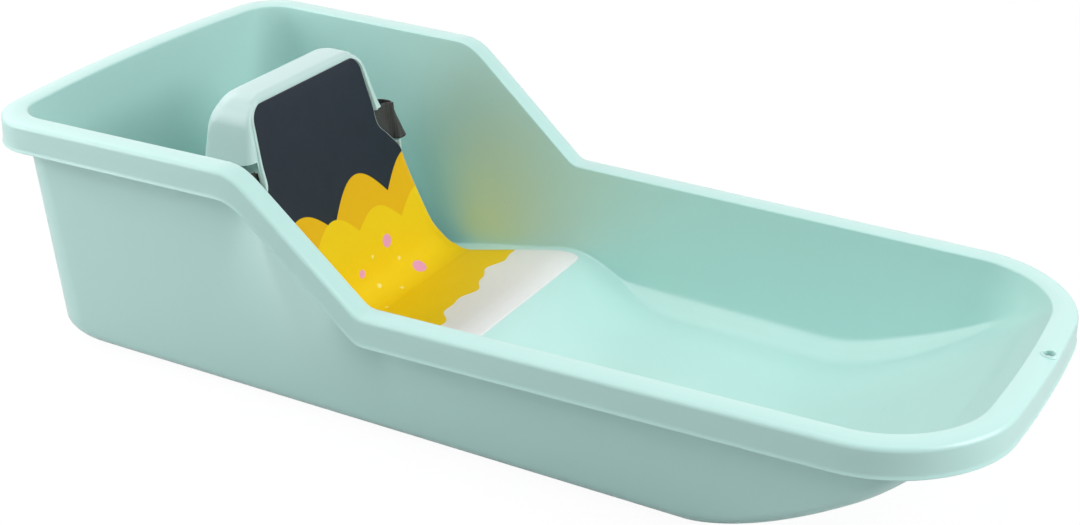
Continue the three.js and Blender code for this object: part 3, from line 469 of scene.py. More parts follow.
def cheek(points):
    """Moves the wall outwards below the rim's slope: behind the skirt, and flush with it from its lower edge
    down. The move fades towards the foot, and its ends spread apart and soften with the distance down."""
    x, y, z = points.T
    lip = rim_top(x) - SKIRT
    below = np.clip(lip - z, 0, None)
    swell = smooth(x, CHEEK_REAR[0] - 0.35 * below, CHEEK_REAR[1] + 0.3 * below)
    swell = swell * (1 - smooth(x, CHEEK_FRONT[0] - 0.5 * below, CHEEK_FRONT[1] + 0.1 * below))
    full = smooth(lip, CHEEK_FOOT, lip + CHEEK_LAP) ** 0.9
    up = np.clip((z - CHEEK_FOOT) / (lip - CHEEK_FOOT), 0, 1) ** 0.35
    grow = smooth(z, CHEEK_FOOT, lip + CHEEK_LAP) ** 0.9 * up / full
    flush = rim_half(x) - np.where(z > lip - 0.2, SKIRT_WALL + CHEEK_TUCK, CHEEK_REVEAL)
    moved = lerp(np.abs(y), flush, swell * np.clip(grow, 0, 1))
    return np.column_stack([x, np.sign(y) * moved, z])


def soft_nose(rings, last):
    """Evens out the rows from the floor's edge to the flange's edge where they cross the nose, so that the
    scoop runs up into the flange without a crease."""
    weight = 0.5 * smooth(rings[1:last - 1, :, :1], *NOSE_EVENED)
    for _ in range(NOSE_ROUNDS):
        rings[1:last - 1] += weight * (0.5 * (rings[:last - 2] + rings[2:last]) - rings[1:last - 1])


def tub():
    """The whole shell: rings from the floor's edge over the rim to the bottom's edge, and a sheet of points
    from side to side over the floor and over the bottom."""
    floor_half, rings, foot = floor_rings()
    inner_top = rim_ring(FLANGE + INNER_EDGE, INNER_EDGE)
    rings += bend(lerp(rings[-1], foot, 0.55), foot, lerp(foot, inner_top, 0.03), 4)
    rings += [lerp(foot, inner_top, t) for t in np.linspace(0.1, 0.97, 12)]
    flange_row = len(rings)
    rings += rim_rings()
    outer, bottom_half = outer_wall()
    rings = np.array(rings + outer)
    soft_nose(rings, flange_row)
    n, m = rings.shape[:2]
    points, faces = [rings.reshape(-1, 3)], [quads(n, m, wrap=True)]
    start = n * m
    across = np.linspace(-1, 1, 14)
    for (x, y), height in ((floor_half, floor_top), (bottom_half, bottom_z)):
        grid = np.stack(np.broadcast_arrays(x[:, None], y[:, None] * across, height(x)[:, None]), -1)
        points.append(grid.reshape(-1, 3))
        faces.append(quads(len(x), len(across), start))
        start += len(x) * len(across)
    return build("tub_body", np.concatenate(points), faces, merge=2e-5)


def tub_cutters():
    """Cutters for the rope hole, the bays under the hump and the screw holes."""
    made = [round_bar(ROPE_X, ROPE_Y, 120, 160, ROPE_HOLE)]
    x = np.linspace(BAY_REAR, BAY_FRONT, 40)
    roof = np.column_stack([x, floor_top(x) - BAY_ROOF])[::-1]
    outline = np.concatenate([[[BAY_REAR, -6], [BAY_FRONT, -6]], roof])
    width = (2 * BAY_HALF - 2 * BAY_RIB) / 3
    for i in range(3):
        low = -BAY_HALF + i * (width + BAY_RIB)
        made.append(slab(outline, low, low + width))
    made += [round_bar(x, y, -6, 20, SCREW_HOLE, 24) for x, y in screw_places()]
    return made


def runner(name, centre):
    """A low strip under the bottom with rounded lower edges that sinks into the bottom at both ends."""
    a = np.linspace(0, np.pi / 2, 5)
    side = RUNNER_HALF - RUNNER_EDGE + RUNNER_EDGE * np.cos(a)
    y = centre + np.concatenate([-side, side[::-1], [RUNNER_HALF, -RUNNER_HALF]])
    rings = []
    for x in np.linspace(RUNNER_REAR, RUNNER_FRONT, 160):
        from_end = min(x - RUNNER_REAR, RUNNER_FRONT - x)
        depth = RUNNER_DEPTH * math.sqrt(np.clip(from_end / RUNNER_FADE, 0, 1))
        bottom = float(bottom_z(x))
        z = bottom - depth + RUNNER_EDGE * (1 - np.sin(a)) * min(1, depth)
        z = np.concatenate([z, z[::-1], np.full(2, bottom + 0.8)])
        rings.append(np.column_stack([np.full(len(y), x), y, z]))
    return tube(name, rings)


def collar():
    """The low ring round the rope hole, lathed: up the hole's side, over a rounded top and into the rim."""
    a = np.linspace(np.pi, 0, 9)
    half, outside = COLLAR_WIDTH / 2, ROPE_HOLE + COLLAR_WIDTH
    radius = np.concatenate([[ROPE_HOLE - 0.1], outside - half * (1 - np.cos(a)), [outside + 0.9, outside]])
    height = np.concatenate([[-2.0], COLLAR_RISE - COLLAR_ROUND * (1 - np.sin(a)), [-0.2, -2.0]])
    turn = np.linspace(0, 2 * np.pi, 65)[:, None]
    x, y = ROPE_X + radius * np.cos(turn), ROPE_Y + radius * np.sin(turn)
    points = np.stack(np.broadcast_arrays(x, y, rim_top(x) + CROWN * 0.9 + height), -1)
    return build("rope_hole_collar", points.reshape(-1, 3), [quads(len(turn), len(radius), wrap=True)])


# The pad


def width_outline(widths, heights):
    """Half width and height, evenly spaced up the backrest, from shares of PAD_HALF and of BACK_TOP."""
    return soft_curve(np.column_stack([PAD_HALF * np.array(widths), BACK_TOP * np.array(heights)]), 240)


PAD_OUTLINE = width_outline(PAD_WIDTHS, PAD_HEIGHTS)
FLANK_OUTLINE = width_outline(FLANK_WIDTHS, FLANK_HEIGHTS)


def half_at(outline, z):
    """The half width at a height up the backrest, and on the seat below it."""
    foot = lerp(PAD_HALF, outline[0, 0], np.clip(z / outline[0, 1], 0, 1))
    return np.where(z <= outline[0, 1], foot, np.interp(z, outline[:, 1], outline[:, 0]))


def back_plane(z, ahead=0.0):
    """X of the backrest's leaning front at a height, or of a plane that lies ahead of it."""
    return BACK_X + math.tan(TILT) * (BACK_TOP - z) + ahead / math.cos(TILT)


def pad_path(depth, count):
    """Evenly spaced X and Z, upward normals, and lengths from the top edge, on a line that lies a depth below
    the pad's top face: down the backrest, round a bend and along the hump."""
    slope = HUMP_RISE / (HUMP_TOP - HUMP_REAR)
    seat_set = depth * math.sqrt(1 + slope * slope)
    top = np.array([back_plane(BACK_TOP, -depth), BACK_TOP])
    ramp = np.array([HUMP_REAR, RUNNER_DEPTH + WALL - seat_set])
    down = np.array([math.sin(TILT), -math.cos(TILT)])
    along = np.array([1.0, slope]) / math.hypot(1, slope)
    gap = ramp - top
    reach = (gap[0] * along[1] - gap[1] * along[0]) / (down[0] * along[1] - down[1] * along[0])
    turn = math.acos(float(down @ along))
    radius = PAD_BEND + depth
    straight = top + down * np.linspace(0, reach - radius * math.tan(turn / 2), 60)[:, None]
    centre = straight[-1] + np.array([-down[1], down[0]]) * radius
    from_centre = straight[-1] - centre
    angles = math.atan2(from_centre[1], from_centre[0]) + np.linspace(0, turn, 40)[1:]
    round_part = centre + radius * np.column_stack([np.cos(angles), np.sin(angles)])
    x = np.linspace(round_part[-1, 0], PAD_NOSE, 60)[1:]
    seat = np.column_stack([x, floor_top(x) - seat_set])
    line, run = evenly(np.concatenate([straight, round_part, seat]), count)
    way = unit(np.gradient(line, axis=0))
    return line, np.column_stack([-way[:, 1], way[:, 0]]), run


def corner_cut(distance, radius):
    """How far a rounded corner draws in the side at a distance from the end."""
    inside = np.maximum(0, radius - distance)
    return radius - np.sqrt(np.maximum(0, radius**2 - inside**2))


def pad_width(z, run):
    """Half width of the pad: as on the backrest, then wide over the seat and flaring to the front end, with
    rounded corners at both ends."""
    total_run = run[-1]
    half = half_at(PAD_OUTLINE, z)
    half = np.where(run > 0.6 * total_run, np.maximum(half, PAD_OUTLINE[0, 0]), half)
    flare_start, flare_end = (total_run - distance for distance in PAD_FLARE_FROM_NOSE)
    half = half + PAD_FLARE * smooth(run, flare_start, flare_end)
    return half - corner_cut(run, PAD_TOP_CORNER) - corner_cut(total_run - run, PAD_NOSE_CORNER)


def pad_rings(rows=230, cols=110):
    """Closed rings of the pad's skin, square to its middle line: across the top face, which a parabola
    crowns, over a rounded edge, back underneath and up again. At both ends they thin to a rounded edge."""
    line, normal, run = pad_path(PAD_THICK / 2, rows)
    half = pad_width(line[:, 1], run)
    lift_start, lift_end = (run[-1] - distance for distance in PAD_LIFT_FROM_NOSE)
    lift = PAD_LIFT * smooth(run, lift_start, lift_end)
    a = np.linspace(np.pi / 2, -np.pi / 2, 9)[1:-1]
    share = np.linspace(-1, 1, cols)
    rings = []
    for k in range(rows):
        end = min(run[k], run[-1] - run[k])
        thick = PAD_THICK / 2 * max(0.06, math.sqrt(1 - max(0.0, 1 - end / PAD_EDGE) ** 2))
        top = thick + PAD_CROWN * min(1.0, end / 12) * (1 - share**2)
        flat = half[k] - PAD_EDGE
        edge = flat + PAD_EDGE * np.cos(a)
        y = np.concatenate([share * flat, edge, share[::-1] * flat, -edge[::-1]])
        up = np.concatenate([top, thick * np.sin(a), np.full(cols, -thick), thick * np.sin(a[::-1])])
        x, z = line[k][:, None] + normal[k][:, None] * (up + lift[k])
        rings.append(np.column_stack([x, y, z]))
    return np.array(rings), run, half


def nearest(line, places):
    """For each place, the number of the line's point that is nearest to it."""
    return [np.argmin(np.sum((line - place) ** 2, axis=1)) for place in places]


def seat_pad():
    """The pad, with how far each point is from its top, from its middle and inside its printed face."""
    rings, run, half = pad_rings()
    obj = tube("seat_pad_printed", rings, merge=1e-9)
    points = np.empty(len(obj.data.vertices) * 3)
    obj.data.vertices.foreach_get("co", points)
    points = points.reshape(-1, 3) / MM
    line, normal, line_run = pad_path(PAD_THICK / 2, 900)
    near = nearest(line, points[:, [0, 2]])
    away = points[:, [0, 2]] - line[near]
    along = line_run[near] + np.sum(away * np.column_stack([normal[near, 1], -normal[near, 0]]), axis=1)
    height = np.sum(away * normal[near], axis=1)
    side = np.interp(along, run, half) - np.abs(points[:, 1])
    inside = np.minimum(np.minimum(side, along), run[-1] - along) - PRINT_EDGE
    keep(obj, "across", points[:, 1])
    keep(obj, "along", along)
    keep(obj, "inside", np.where(height > 0, inside, -1.0))
    return obj, run[-1]


# The backrest


def round_off(height, radius):
    """How far a surface has drawn in at a height, where an edge of that radius ends at the crown's peak."""
    t = max(0.0, min(1.0, (height - BACK_PEAK + radius) / radius))
    return radius * (1 - math.sqrt(1 - t * t))


def back_heights():
    """Heights of the backrest's rings, closest together at the belt and round the edges of its crown."""
    dome = np.sin(np.linspace(0, np.pi / 2, 30)[:-1])
    heights = np.concatenate([
        np.linspace(-5, 120, 30), np.linspace(122, 186, 44), np.linspace(188, 228, 20),
        BACK_PEAK - BACK_TOP_CORNER * (1 - dome), BACK_PEAK - BACK_FRONT_EDGE * (1 - dome[::3]),
        [BACK_TOP - 0.2, BACK_TOP + 0.05],
    ])
    return np.unique(np.round(np.clip(heights, -5, BACK_PEAK - 0.01), 3))


def back_ring(z):
    """A closed plan ring of the backrest: from the middle of the rear round the flank, over a soft shoulder
    to the front, over the narrow ridge at the pad's edge, down into the recess and across. Below the belt
    the flanks and the front draw in until no ridge is left."""
    below_top = min(z, BACK_TOP)
    width = float(half_at(FLANK_OUTLINE, below_top)) - NARROWER * (1 - smooth(z, *NARROWER_SPAN))
    width -= round_off(z, BACK_TOP_CORNER)
    rear = BACK_REAR + round_off(z, BACK_REAR_EDGE)
    front = back_plane(z) - round_off(z, BACK_FRONT_EDGE) - SET_BACK * (1 - smooth(z, *SET_BACK_SPAN))
    corner = lerp(BACK_REAR_CORNER, BACK_REAR_EDGE, smooth(z, *REAR_CORNER_SPAN))
    corner = min(corner, (front - rear) / 2.4)
    pad = float(half_at(PAD_OUTLINE, below_top)) - corner_cut(BACK_TOP - z, PAD_TOP_CORNER) + PAD_FIT
    pad = min(pad, width - 3)
    ridge = min(lerp(*RIDGE_WIDTHS, smooth(z, *RIDGE_WIDTH_SPAN)), (width - pad) * 0.7)
    proud = lerp(*RIDGE_RISES, smooth(z, *RIDGE_RISE_SPAN))
    proud *= smooth(z, *RIDGE_START_SPAN) * (1 - smooth(z, *RIDGE_END_SPAN))
    shoulder = min(SHOULDER, (front - rear) / 3, 0.8 * (width - pad - ridge))
    floor = back_plane(z, -PAD_THICK - PAD_FIT) if z < BACK_TOP + 0.02 else front
    a = np.linspace(0, np.pi / 2, 9)
    stretches = [
        (np.full(7, rear), np.linspace(0, width - corner, 7, endpoint=False)),
        (rear + corner * (1 - np.cos(a)), width - corner * (1 - np.sin(a))),
        (np.linspace(rear + corner, front - shoulder, 9)[1:-1], np.full(7, width)),
        (front - shoulder * (1 - np.sin(a)), width - shoulder * (1 - np.cos(a))),
        (np.full(4, front), np.linspace(width - shoulder, pad + ridge, 5)[1:]),
        (front + proud * RIDGE_UP, pad + ridge * RIDGE_ACROSS),
        ([lerp(floor, front, 0.9), floor], [pad + 0.01, pad]),
        (np.full(7, floor), np.linspace(pad, 0, 8)[1:]),
    ]
    x, y = np.concatenate([np.array(stretch) for stretch in stretches], axis=1)
    near = np.column_stack([x, -y, np.full(len(x), z)])
    return np.concatenate([near, near[1:-1][::-1] * [1, -1, 1]])


def belt_cut(low, high, behind, ahead, longer):
    """A box across the sled in the backrest's own directions, set on the recess's floor at the belt."""
    into = np.array([math.cos(TILT), math.sin(TILT)])
    up = np.array([-math.sin(TILT), math.cos(TILT)])
    centre = np.array([back_plane(BELT_Z, -PAD_THICK - PAD_FIT), BELT_Z])
    half = BELT_WIDTH / 2 + SLOT_FIT
    sides = [(-behind, -half), (ahead, -half), (ahead, half + longer), (-behind, half + longer)]
    return slab([centre + into * d + up * h for d, h in sides], low, high)


def backrest():
    """The block, cut off a little above the tub's floor and opened for the belt."""
    obj = tube("backrest_body", [back_ring(z) for z in back_heights()], merge=2e-5)
    rear, front, side, gap = -380, 60, 214, 0.3
    x = np.linspace(rear, front, 120)
    under = np.concatenate([[[rear, -12], [front, -12]], np.column_stack([x, floor_top(x) + gap])[::-1]])
    return cut(obj, [slab(under, -side, side)] + [belt_cut(*values) for values in BELT_CUTS])


def screw_places():
    rear, front = BACK_REAR + SCREW_REAR_IN, back_plane(0) - SCREW_FRONT_IN
    pairs = ((rear, SCREW_REAR_SIDE), (front, SCREW_FRONT_SIDE))
    return [(x, side * y) for x, y in pairs for side in (-1, 1)]


# The belt


def strap_stops(layer, loop):
    """X, Y, share of the backrest's tilt, share of its flank's slope and rise, along a strap's middle line:
    in the slot, out into the loop, round the flank and the rear corner, and round a bar to the tail."""
    inner = back_plane(BELT_Z, -PAD_THICK - PAD_FIT - layer)
    flank = float(half_at(FLANK_OUTLINE, BELT_Z))
    near = flank + BELT_THICK / 2 + SLOT_FIT
    outer = BUCKLE_X + BAR_RADIUS + BELT_THICK / 2 + BELT_GAP
    back = 2 * BUCKLE_X - outer
    bar = BUCKLE_END - BAR_IN
    rise = loop[0][4]
    stops = [(inner, STRAP_START, 1, 0, 0), (inner, 0, 1, 0, 0)]
    stops += [(inner, SLOT_INNER_END, 1, 0, 0.3 * rise), (inner, flank, 1, 0, 0.85 * rise)]
    stops += [(inner + a * LOOP_RUN, flank + o * LOOP_OUT, t, s, h) for a, o, t, s, h in loop]
    stops += [(BACK_REAR + TAIL / 2, near + BELT_GAP, 0, 1, 0), (BACK_REAR - BELT_THICK, near, 0, 1, 0)]
    stops += [(RUN_X + BELT_GAP, flank - TAIL / 2, 0, 0.5, 0)]
    stops += [(x, y, 0, 0, 0) for x, y in (
        (RUN_X, flank - 1.5 * TAIL), (RUN_X, BUCKLE_END + 1.5 * TAIL), (outer, BUCKLE_END), (outer, bar),
        (BUCKLE_X, bar - (outer - BUCKLE_X)), (back, bar), (back, BUCKLE_END),
        (RUN_X - BELT_THICK - BELT_GAP, BUCKLE_END + TAIL),
    )]
    return stops


def strap(name, to_side, layer, loop, count=460, columns=21):
    """A flat ribbon with rounded selvedges swept along the strap's middle line, leaning with the backrest
    and with its flank by the shares at the stops. Attributes hold the millimetres along and across it."""
    x, y, tilt, flank, rise = soft_curve(strap_stops(layer, loop), count).T
    p = np.column_stack([x, to_side * y, BELT_Z + rise])
    tangent = unit(np.gradient(p, axis=0))
    low, high = (float(half_at(FLANK_OUTLINE, BELT_Z + way * BELT_WIDTH / 2)) for way in (-1, 1))
    slope = (low - high) / BELT_WIDTH
    up = np.column_stack([-math.tan(TILT) * tilt, -to_side * slope * flank, np.ones(count)])
    up = unit(up - tangent * np.sum(up * tangent, axis=1)[:, None])
    out = np.cross(tangent, up)
    flat = BELT_WIDTH / 2 - 1
    span = np.linspace(-flat, flat, columns)
    a = np.linspace(np.pi / 2, -np.pi / 2, 7)[1:-1]
    places = np.concatenate([span, flat + np.cos(a), span[::-1], -flat - np.cos(a[::-1])])
    face = np.concatenate([np.ones(columns), np.sin(a), -np.ones(columns), np.sin(a[::-1])])
    off = out[:, None] * (BELT_THICK / 2 * face[None, :, None])
    obj = tube(name, p[:, None] + up[:, None] * places[None, :, None] + off, merge=1e-7)
    keep(obj, "along", np.repeat(run_along(p), len(places)))
    keep(obj, "across", np.tile(places, count))
    return obj


# Material nodes


def principled(mat):
    return mat.node_tree.nodes["Principled BSDF"]


def material(name, colour, roughness, **sockets):
    """A material with constants on its shader's sockets, named with an underscore for each space."""
    mat = bpy.data.materials.new(name)
    mat.use_nodes = True
    inputs = principled(mat).inputs
    inputs["Base Color"].default_value = (*colour, 1)
    inputs["Roughness"].default_value = roughness
    for key, value in sockets.items():
        inputs[key.replace("_", " ")].default_value = value
    return mat


def node(mat, kind, **values):
    """A node with its settings and input values, named with an underscore for each space."""
    made = mat.node_tree.nodes.new(kind)
    for key, value in values.items():
        if hasattr(made, key):
            setattr(made, key, value)
        else:
            made.inputs[key.replace("_", " ")].default_value = value
    return made


def link(mat, a, b):
    mat.node_tree.links.new(a, b)


def feed(mat, socket, value):
    """Feeds one of the shader's sockets from a node's output."""
    link(mat, value, principled(mat).inputs[socket])


def noise(mat, scale, detail=2.0):
    """Noise of 0 to 1 in the object's own coordinates, in metres."""
    made = node(mat, "ShaderNodeTexNoise", Scale=scale, Detail=detail)
    link(mat, node(mat, "ShaderNodeTexCoord").outputs["Object"], made.inputs["Vector"])
    return made.outputs["Fac"]


def spread(mat, value, low, high):
    """Maps a value of 0 to 1 onto low to high."""
    made = node(mat, "ShaderNodeMapRange", To_Min=low, To_Max=high)
    link(mat, value, made.inputs["Value"])
    return made.outputs["Result"]


def edge_step(mat, value, width=0.3):
    """1 where a value in millimetres is above 0, and 0 below it, over a narrow soft step."""
    made = node(mat, "ShaderNodeMapRange", interpolation_type="SMOOTHSTEP", From_Min=-width, From_Max=width)
    link(mat, value, made.inputs["Value"])
    return made.outputs["Result"]


def mix(mat, factor, a, b):
    """Colour a where factor is 0, and b where it is 1."""
    made = node(mat, "ShaderNodeMix", data_type="RGBA")
    for name, value in (("Factor", factor), ("A", a), ("B", b)):
        if isinstance(value, tuple):
            made.inputs[name].default_value = (*value, 1)
        else:
            link(mat, value, made.inputs[name])
    return made.outputs["Result"]


def math_node(mat, operation, *values):
    made = node(mat, "ShaderNodeMath", operation=operation)
    for i, value in enumerate(values):
        if isinstance(value, (int, float)):
            made.inputs[i].default_value = value
        else:
            link(mat, value, made.inputs[i])
    return made.outputs[0]


def times(mat, a, b):
    return math_node(mat, "MULTIPLY", a, b)


def total(mat, *values):
    out = values[0]
    for value in values[1:]:
        out = math_node(mat, "ADD", out, value)
    return out


def wave(mat, value, length, height, shift):
    """A sine wave along a value in millimetres, with its length, its height and its shift in radians."""
    turned = math_node(mat, "MULTIPLY_ADD", value, 2 * math.pi / length, shift)
    return times(mat, math_node(mat, "SINE", turned), height)


def attribute(mat, name):
    return node(mat, "ShaderNodeAttribute", attribute_name=name).outputs["Fac"]


def bump(mat, height, strength, distance):
    made = node(mat, "ShaderNodeBump", Strength=strength, Distance=distance)
    link(mat, height, made.inputs["Height"])
    feed(mat, "Normal", made.outputs["Normal"])


def tint(colour, share):
    return tuple(share * c for c in colour)


# Colours and materials

MINT, MINT_BACK, BLACK = (0.535, 0.83, 0.785), (0.60, 0.79, 0.775), (0.012, 0.013, 0.014)
# The webbing's last colour is a painted highlight for the crests of its ribs.
WEB, WEB_LOW, WEB_CREST_HIGHLIGHT = (0.016, 0.016, 0.017), (0.010, 0.011, 0.010), (0.036, 0.038, 0.034)
ZINC, ZINC_DULL, ZINC_BRIGHT = (0.56, 0.57, 0.58), (0.46, 0.46, 0.45), (0.6, 0.61, 0.63)
NAVY, HILL, HILL_BACK = (0.012, 0.018, 0.028), (0.91, 0.62, 0.003), (0.83, 0.47, 0.003)
PALE, SNOW, PINK = (0.95, 0.78, 0.22), (0.88, 0.875, 0.865), (0.84, 0.36, 0.58)
FOAM = (0.62, 0.72, 0.70)


def plastic(name, colour, low, high, **sockets):
    """Moulded polyethylene: cloudy colour, gloss that varies in patches, and a fine orange peel."""
    mat = material(name, colour, (low + high) / 2, **sockets)
    feed(mat, "Base Color", mix(mat, noise(mat, 3.0, 3), tint(colour, 0.955), colour))
    feed(mat, "Roughness", spread(mat, noise(mat, 22.0, 4), low, high))
    fine, broad = noise(mat, 900.0), noise(mat, 60.0)
    bump(mat, total(mat, times(mat, fine, 0.4), broad), 0.25, 0.00003)
    return mat


def webbing():
    """Black woven belt: ribs across it every 1.7 mm, broken by the warp's finer columns, and painted
    highlight patches on rib crests.
    """
    mat = material("black_webbing", WEB, 0.72, Sheen_Weight=0.12)
    across, along = attribute(mat, "across"), attribute(mat, "along")
    ribs = wave(mat, total(mat, along, wave(mat, across, 3.0, 0.25, 0.0)), 1.7, 0.5, 0.0)
    columns = wave(mat, across, 1.5, 0.35, 0.0)
    height = total(mat, ribs, columns, noise(mat, 500.0))
    # Painted highlight: the crests of the ribs are coloured lighter, in noisy patches.
    painted_crest_highlight = edge_step(mat, total(mat, ribs, noise(mat, 90.0, 4), -0.55), 0.6)
    feed(mat, "Base Color", mix(mat, painted_crest_highlight, WEB_LOW, WEB_CREST_HIGHLIGHT))
    feed(mat, "Roughness", spread(mat, noise(mat, 120.0, 3), 0.62, 0.85))
    bump(mat, height, 0.6, 0.0003)
    return mat


def zinc():
    """Plated steel: bright, with cloudy colour and roughness and a fine grain."""
    mat = material("zinc_screw", ZINC, 0.35, Metallic=1.0)
    feed(mat, "Base Color", mix(mat, noise(mat, 300.0, 3), ZINC_DULL, ZINC_BRIGHT))
    feed(mat, "Roughness", spread(mat, noise(mat, 500.0, 3), 0.24, 0.5))
    bump(mat, noise(mat, 1600.0), 0.3, 0.00003)
    return mat


# The print, in distances across the pad from its middle and along it from its top edge. A row of hills has
# its crest's distance, and the length, height and shift of its hills and of its slow roll. A disc or dot has
# its two distances and its radius.

BACK_HILLS = (150.0, (188, 34, 0.5), (330, 7, 0.4))
FRONT_HILLS = (168.0, (140, 20, 2.2), (260, 8, 2.2))
SNOW_DEPTH, SNOW_WAVE, SNOW_RIPPLE, SNOW_SLOPE = 58.0, (88, 6, 0.6), (37, 2.5, 1.9), 0.16
DISCS = [(-62, 196, 8), (-36, 214, 5.5), (58, 190, 7), (88, 236, 8.5), (8, 206, 4.5)]
DOTS = [
    (-96, 226, 3), (-78, 240, 2.2), (-20, 236, 2.6), (24, 228, 3), (44, 246, 2.2), (70, 214, 2.4),
    (-50, 262, 2.6), (2, 258, 2), (-110, 262, 2.4), (30, 196, 2),
]


def disc(mat, across, along, u, v, radius):
    """1 inside a circle on the sheet."""
    du, dv = math_node(mat, "ADD", across, -u), math_node(mat, "ADD", along, -v)
    far = math_node(mat, "SQRT", total(mat, times(mat, du, du), times(mat, dv, dv)))
    return edge_step(mat, math_node(mat, "SUBTRACT", radius, far))


def hills(mat, across, along, crest, hill, roll):
    """1 below a row of round hills, which are the size of a sine wave without its sign, on a slow roll."""
    length, height, shift = hill
    bumps = times(mat, math_node(mat, "ABSOLUTE", wave(mat, across, length, 1.0, shift)), height)
    return edge_step(mat, total(mat, along, -crest, bumps, wave(mat, across, *roll)))


def printed(length):
    """A thin foam sheet with a printed fabric face: night blue above two rows of round yellow hills with dots
    and discs, and snow with a wavy edge at the front."""
    mat = material("printed_sheet", NAVY, 0.6, Specular_IOR_Level=0.2)
    across, along, inside = (attribute(mat, name) for name in ("across", "along", "inside"))
    cloth = noise(mat, 240.0, 3)
    night = mix(mat, cloth, tint(NAVY, 0.86), tint(NAVY, 1.16))
    colour = mix(mat, hills(mat, across, along, *BACK_HILLS), night, HILL_BACK)
    front = hills(mat, across, along, *FRONT_HILLS)
    colour = mix(mat, front, colour, mix(mat, cloth, tint(HILL, 0.97), HILL))
    for places, paint in ((DOTS, PALE), (DISCS, PINK)):
        for place in places:
            colour = mix(mat, times(mat, disc(mat, across, along, *place), front), colour, paint)
    edges = (wave(mat, across, *values) for values in (SNOW_WAVE, SNOW_RIPPLE))
    snow = edge_step(mat, total(mat, along, SNOW_DEPTH - length, *edges, times(mat, across, SNOW_SLOPE)))
    colour = mix(mat, snow, colour, mix(mat, cloth, tint(SNOW, 0.96), SNOW))
    feed(mat, "Base Color", mix(mat, edge_step(mat, inside, 0.2), FOAM, colour))
    feed(mat, "Roughness", spread(mat, noise(mat, 35.0, 3), 0.5, 0.66))
    weave = noise(mat, 1400.0)
    bump(mat, total(mat, times(mat, weave, 0.35), noise(mat, 26.0)), 0.3, 0.00025)
    return mat


# The pieces

TUB_SHEEN = {"Specular_IOR_Level": 0.7, "Sheen_Weight": 0.45, "Sheen_Roughness": 0.45}

mat_tub = plastic("moulded_mint", MINT, 0.32, 0.42, **TUB_SHEEN)
mat_back = plastic("moulded_mint_gloss", MINT_BACK, 0.3, 0.38, Specular_IOR_Level=0.35)
mat_black = plastic("moulded_black", BLACK, 0.4, 0.5)
mat_web = webbing()
mat_steel = zinc()


def dress(obj, mat):
    obj.data.materials.clear()
    obj.data.materials.append(mat)


def finish_piece(obj, mat, body, slot_name, *replaced, angle=35):
    """Gives a piece its material, smooth shading up to an angle in degrees, and its node and body. The slot
    name is not used.
    """
    dress(obj, mat)
    obj.data.shade_smooth()
    obj.data.set_sharp_from_angle(angle=math.radians(angle))
    if replaced:
        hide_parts(*replaced)
    if body:
        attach(obj, body)


finish_piece(cut(tub(), tub_cutters()), mat_tub, "sled", "tub", "tub_shell", angle=28)
for i, centre in enumerate((-RUNNER_SIDE, RUNNER_SIDE), 1):
    finish_piece(runner(f"runner_{i}", centre), mat_tub, "sled", "tub")
finish_piece(collar(), mat_tub, "sled", "tub", angle=60)
finish_piece(backrest(), mat_back, "sled", "backrest", "backrest_shell", angle=40)
pad_piece, pad_length = seat_pad()
finish_piece(pad_piece, printed(pad_length), "sled", "pad", "seat_pad", angle=60)
near = strap("belt_webbing_near", -1, BELT_THICK / 2 + BELT_GAP, NEAR_LOOP)
finish_piece(near, mat_web, "sled", "webbing", "belt_strap_near", angle=70)
far = strap("belt_webbing_far", 1, 1.5 * BELT_THICK + 2 * BELT_GAP, FAR_LOOP)
finish_piece(far, mat_web, None, "webbing", "belt_strap_far", angle=70)
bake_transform(far)

for name, obj in nodes.items():
    if name.startswith("backrest_screw"):
        dress(obj, mat_steel)
    elif name in ("buckle_socket", "buckle_tongue", "belt_adjuster"):
        dress(obj, mat_black)


# Floor, light and camera. A lamp has its place, the point that it faces, its side's length and its watts.

LAMPS = {
    "top": ((0.0, 0.1, 2.2), (0, 0, 0), 2.4, 13),
    "front_left": ((-1.7, -1.2, 0.9), (-0.2, 0, 0.1), 1.2, 18.5),
    "front_high": ((-0.9, -1.6, 2.2), (0, 0, 0.1), 1.4, 13.5),
    "right": ((2.4, 0.4, 0.9), (0.4, 0, 0.1), 1.2, 8.5),
    "right_high": ((2.2, 0.2, 1.7), (0, 0, 0.1), 1.4, 41),
    "left": ((-2.2, 0.3, 1.6), (0, 0, 0.1), 1.4, 15),
    "back": ((0.0, 2.2, 1.6), (0, 0, 0.1), 1.6, 2),
}
WORLD_LIGHT, WORLD_SEEN = 0.04, 1.5
FLOOR_HALF, FLOOR_GREY, FLOOR_GLOW, FLOOR_SEEN = 8, (0.64, 0.64, 0.64), 1.07, 0.88


def pale_world():
    """A white surround for the camera and for reflections, and a weaker one for light."""
    world = bpy.data.worlds.new("studio")
    world.use_nodes = True
    back = world.node_tree.nodes["Background"]
    back.inputs["Color"].default_value = (1, 1, 1, 1)
    path = node(world, "ShaderNodeLightPath")
    seen = node(world, "ShaderNodeMath", operation="ADD", use_clamp=True)
    link(world, path.outputs["Is Camera Ray"], seen.inputs[0])
    link(world, path.outputs["Is Glossy Ray"], seen.inputs[1])
    link(world, spread(world, seen.outputs[0], WORLD_LIGHT, WORLD_SEEN), back.inputs["Strength"])
    bpy.context.scene.world = world


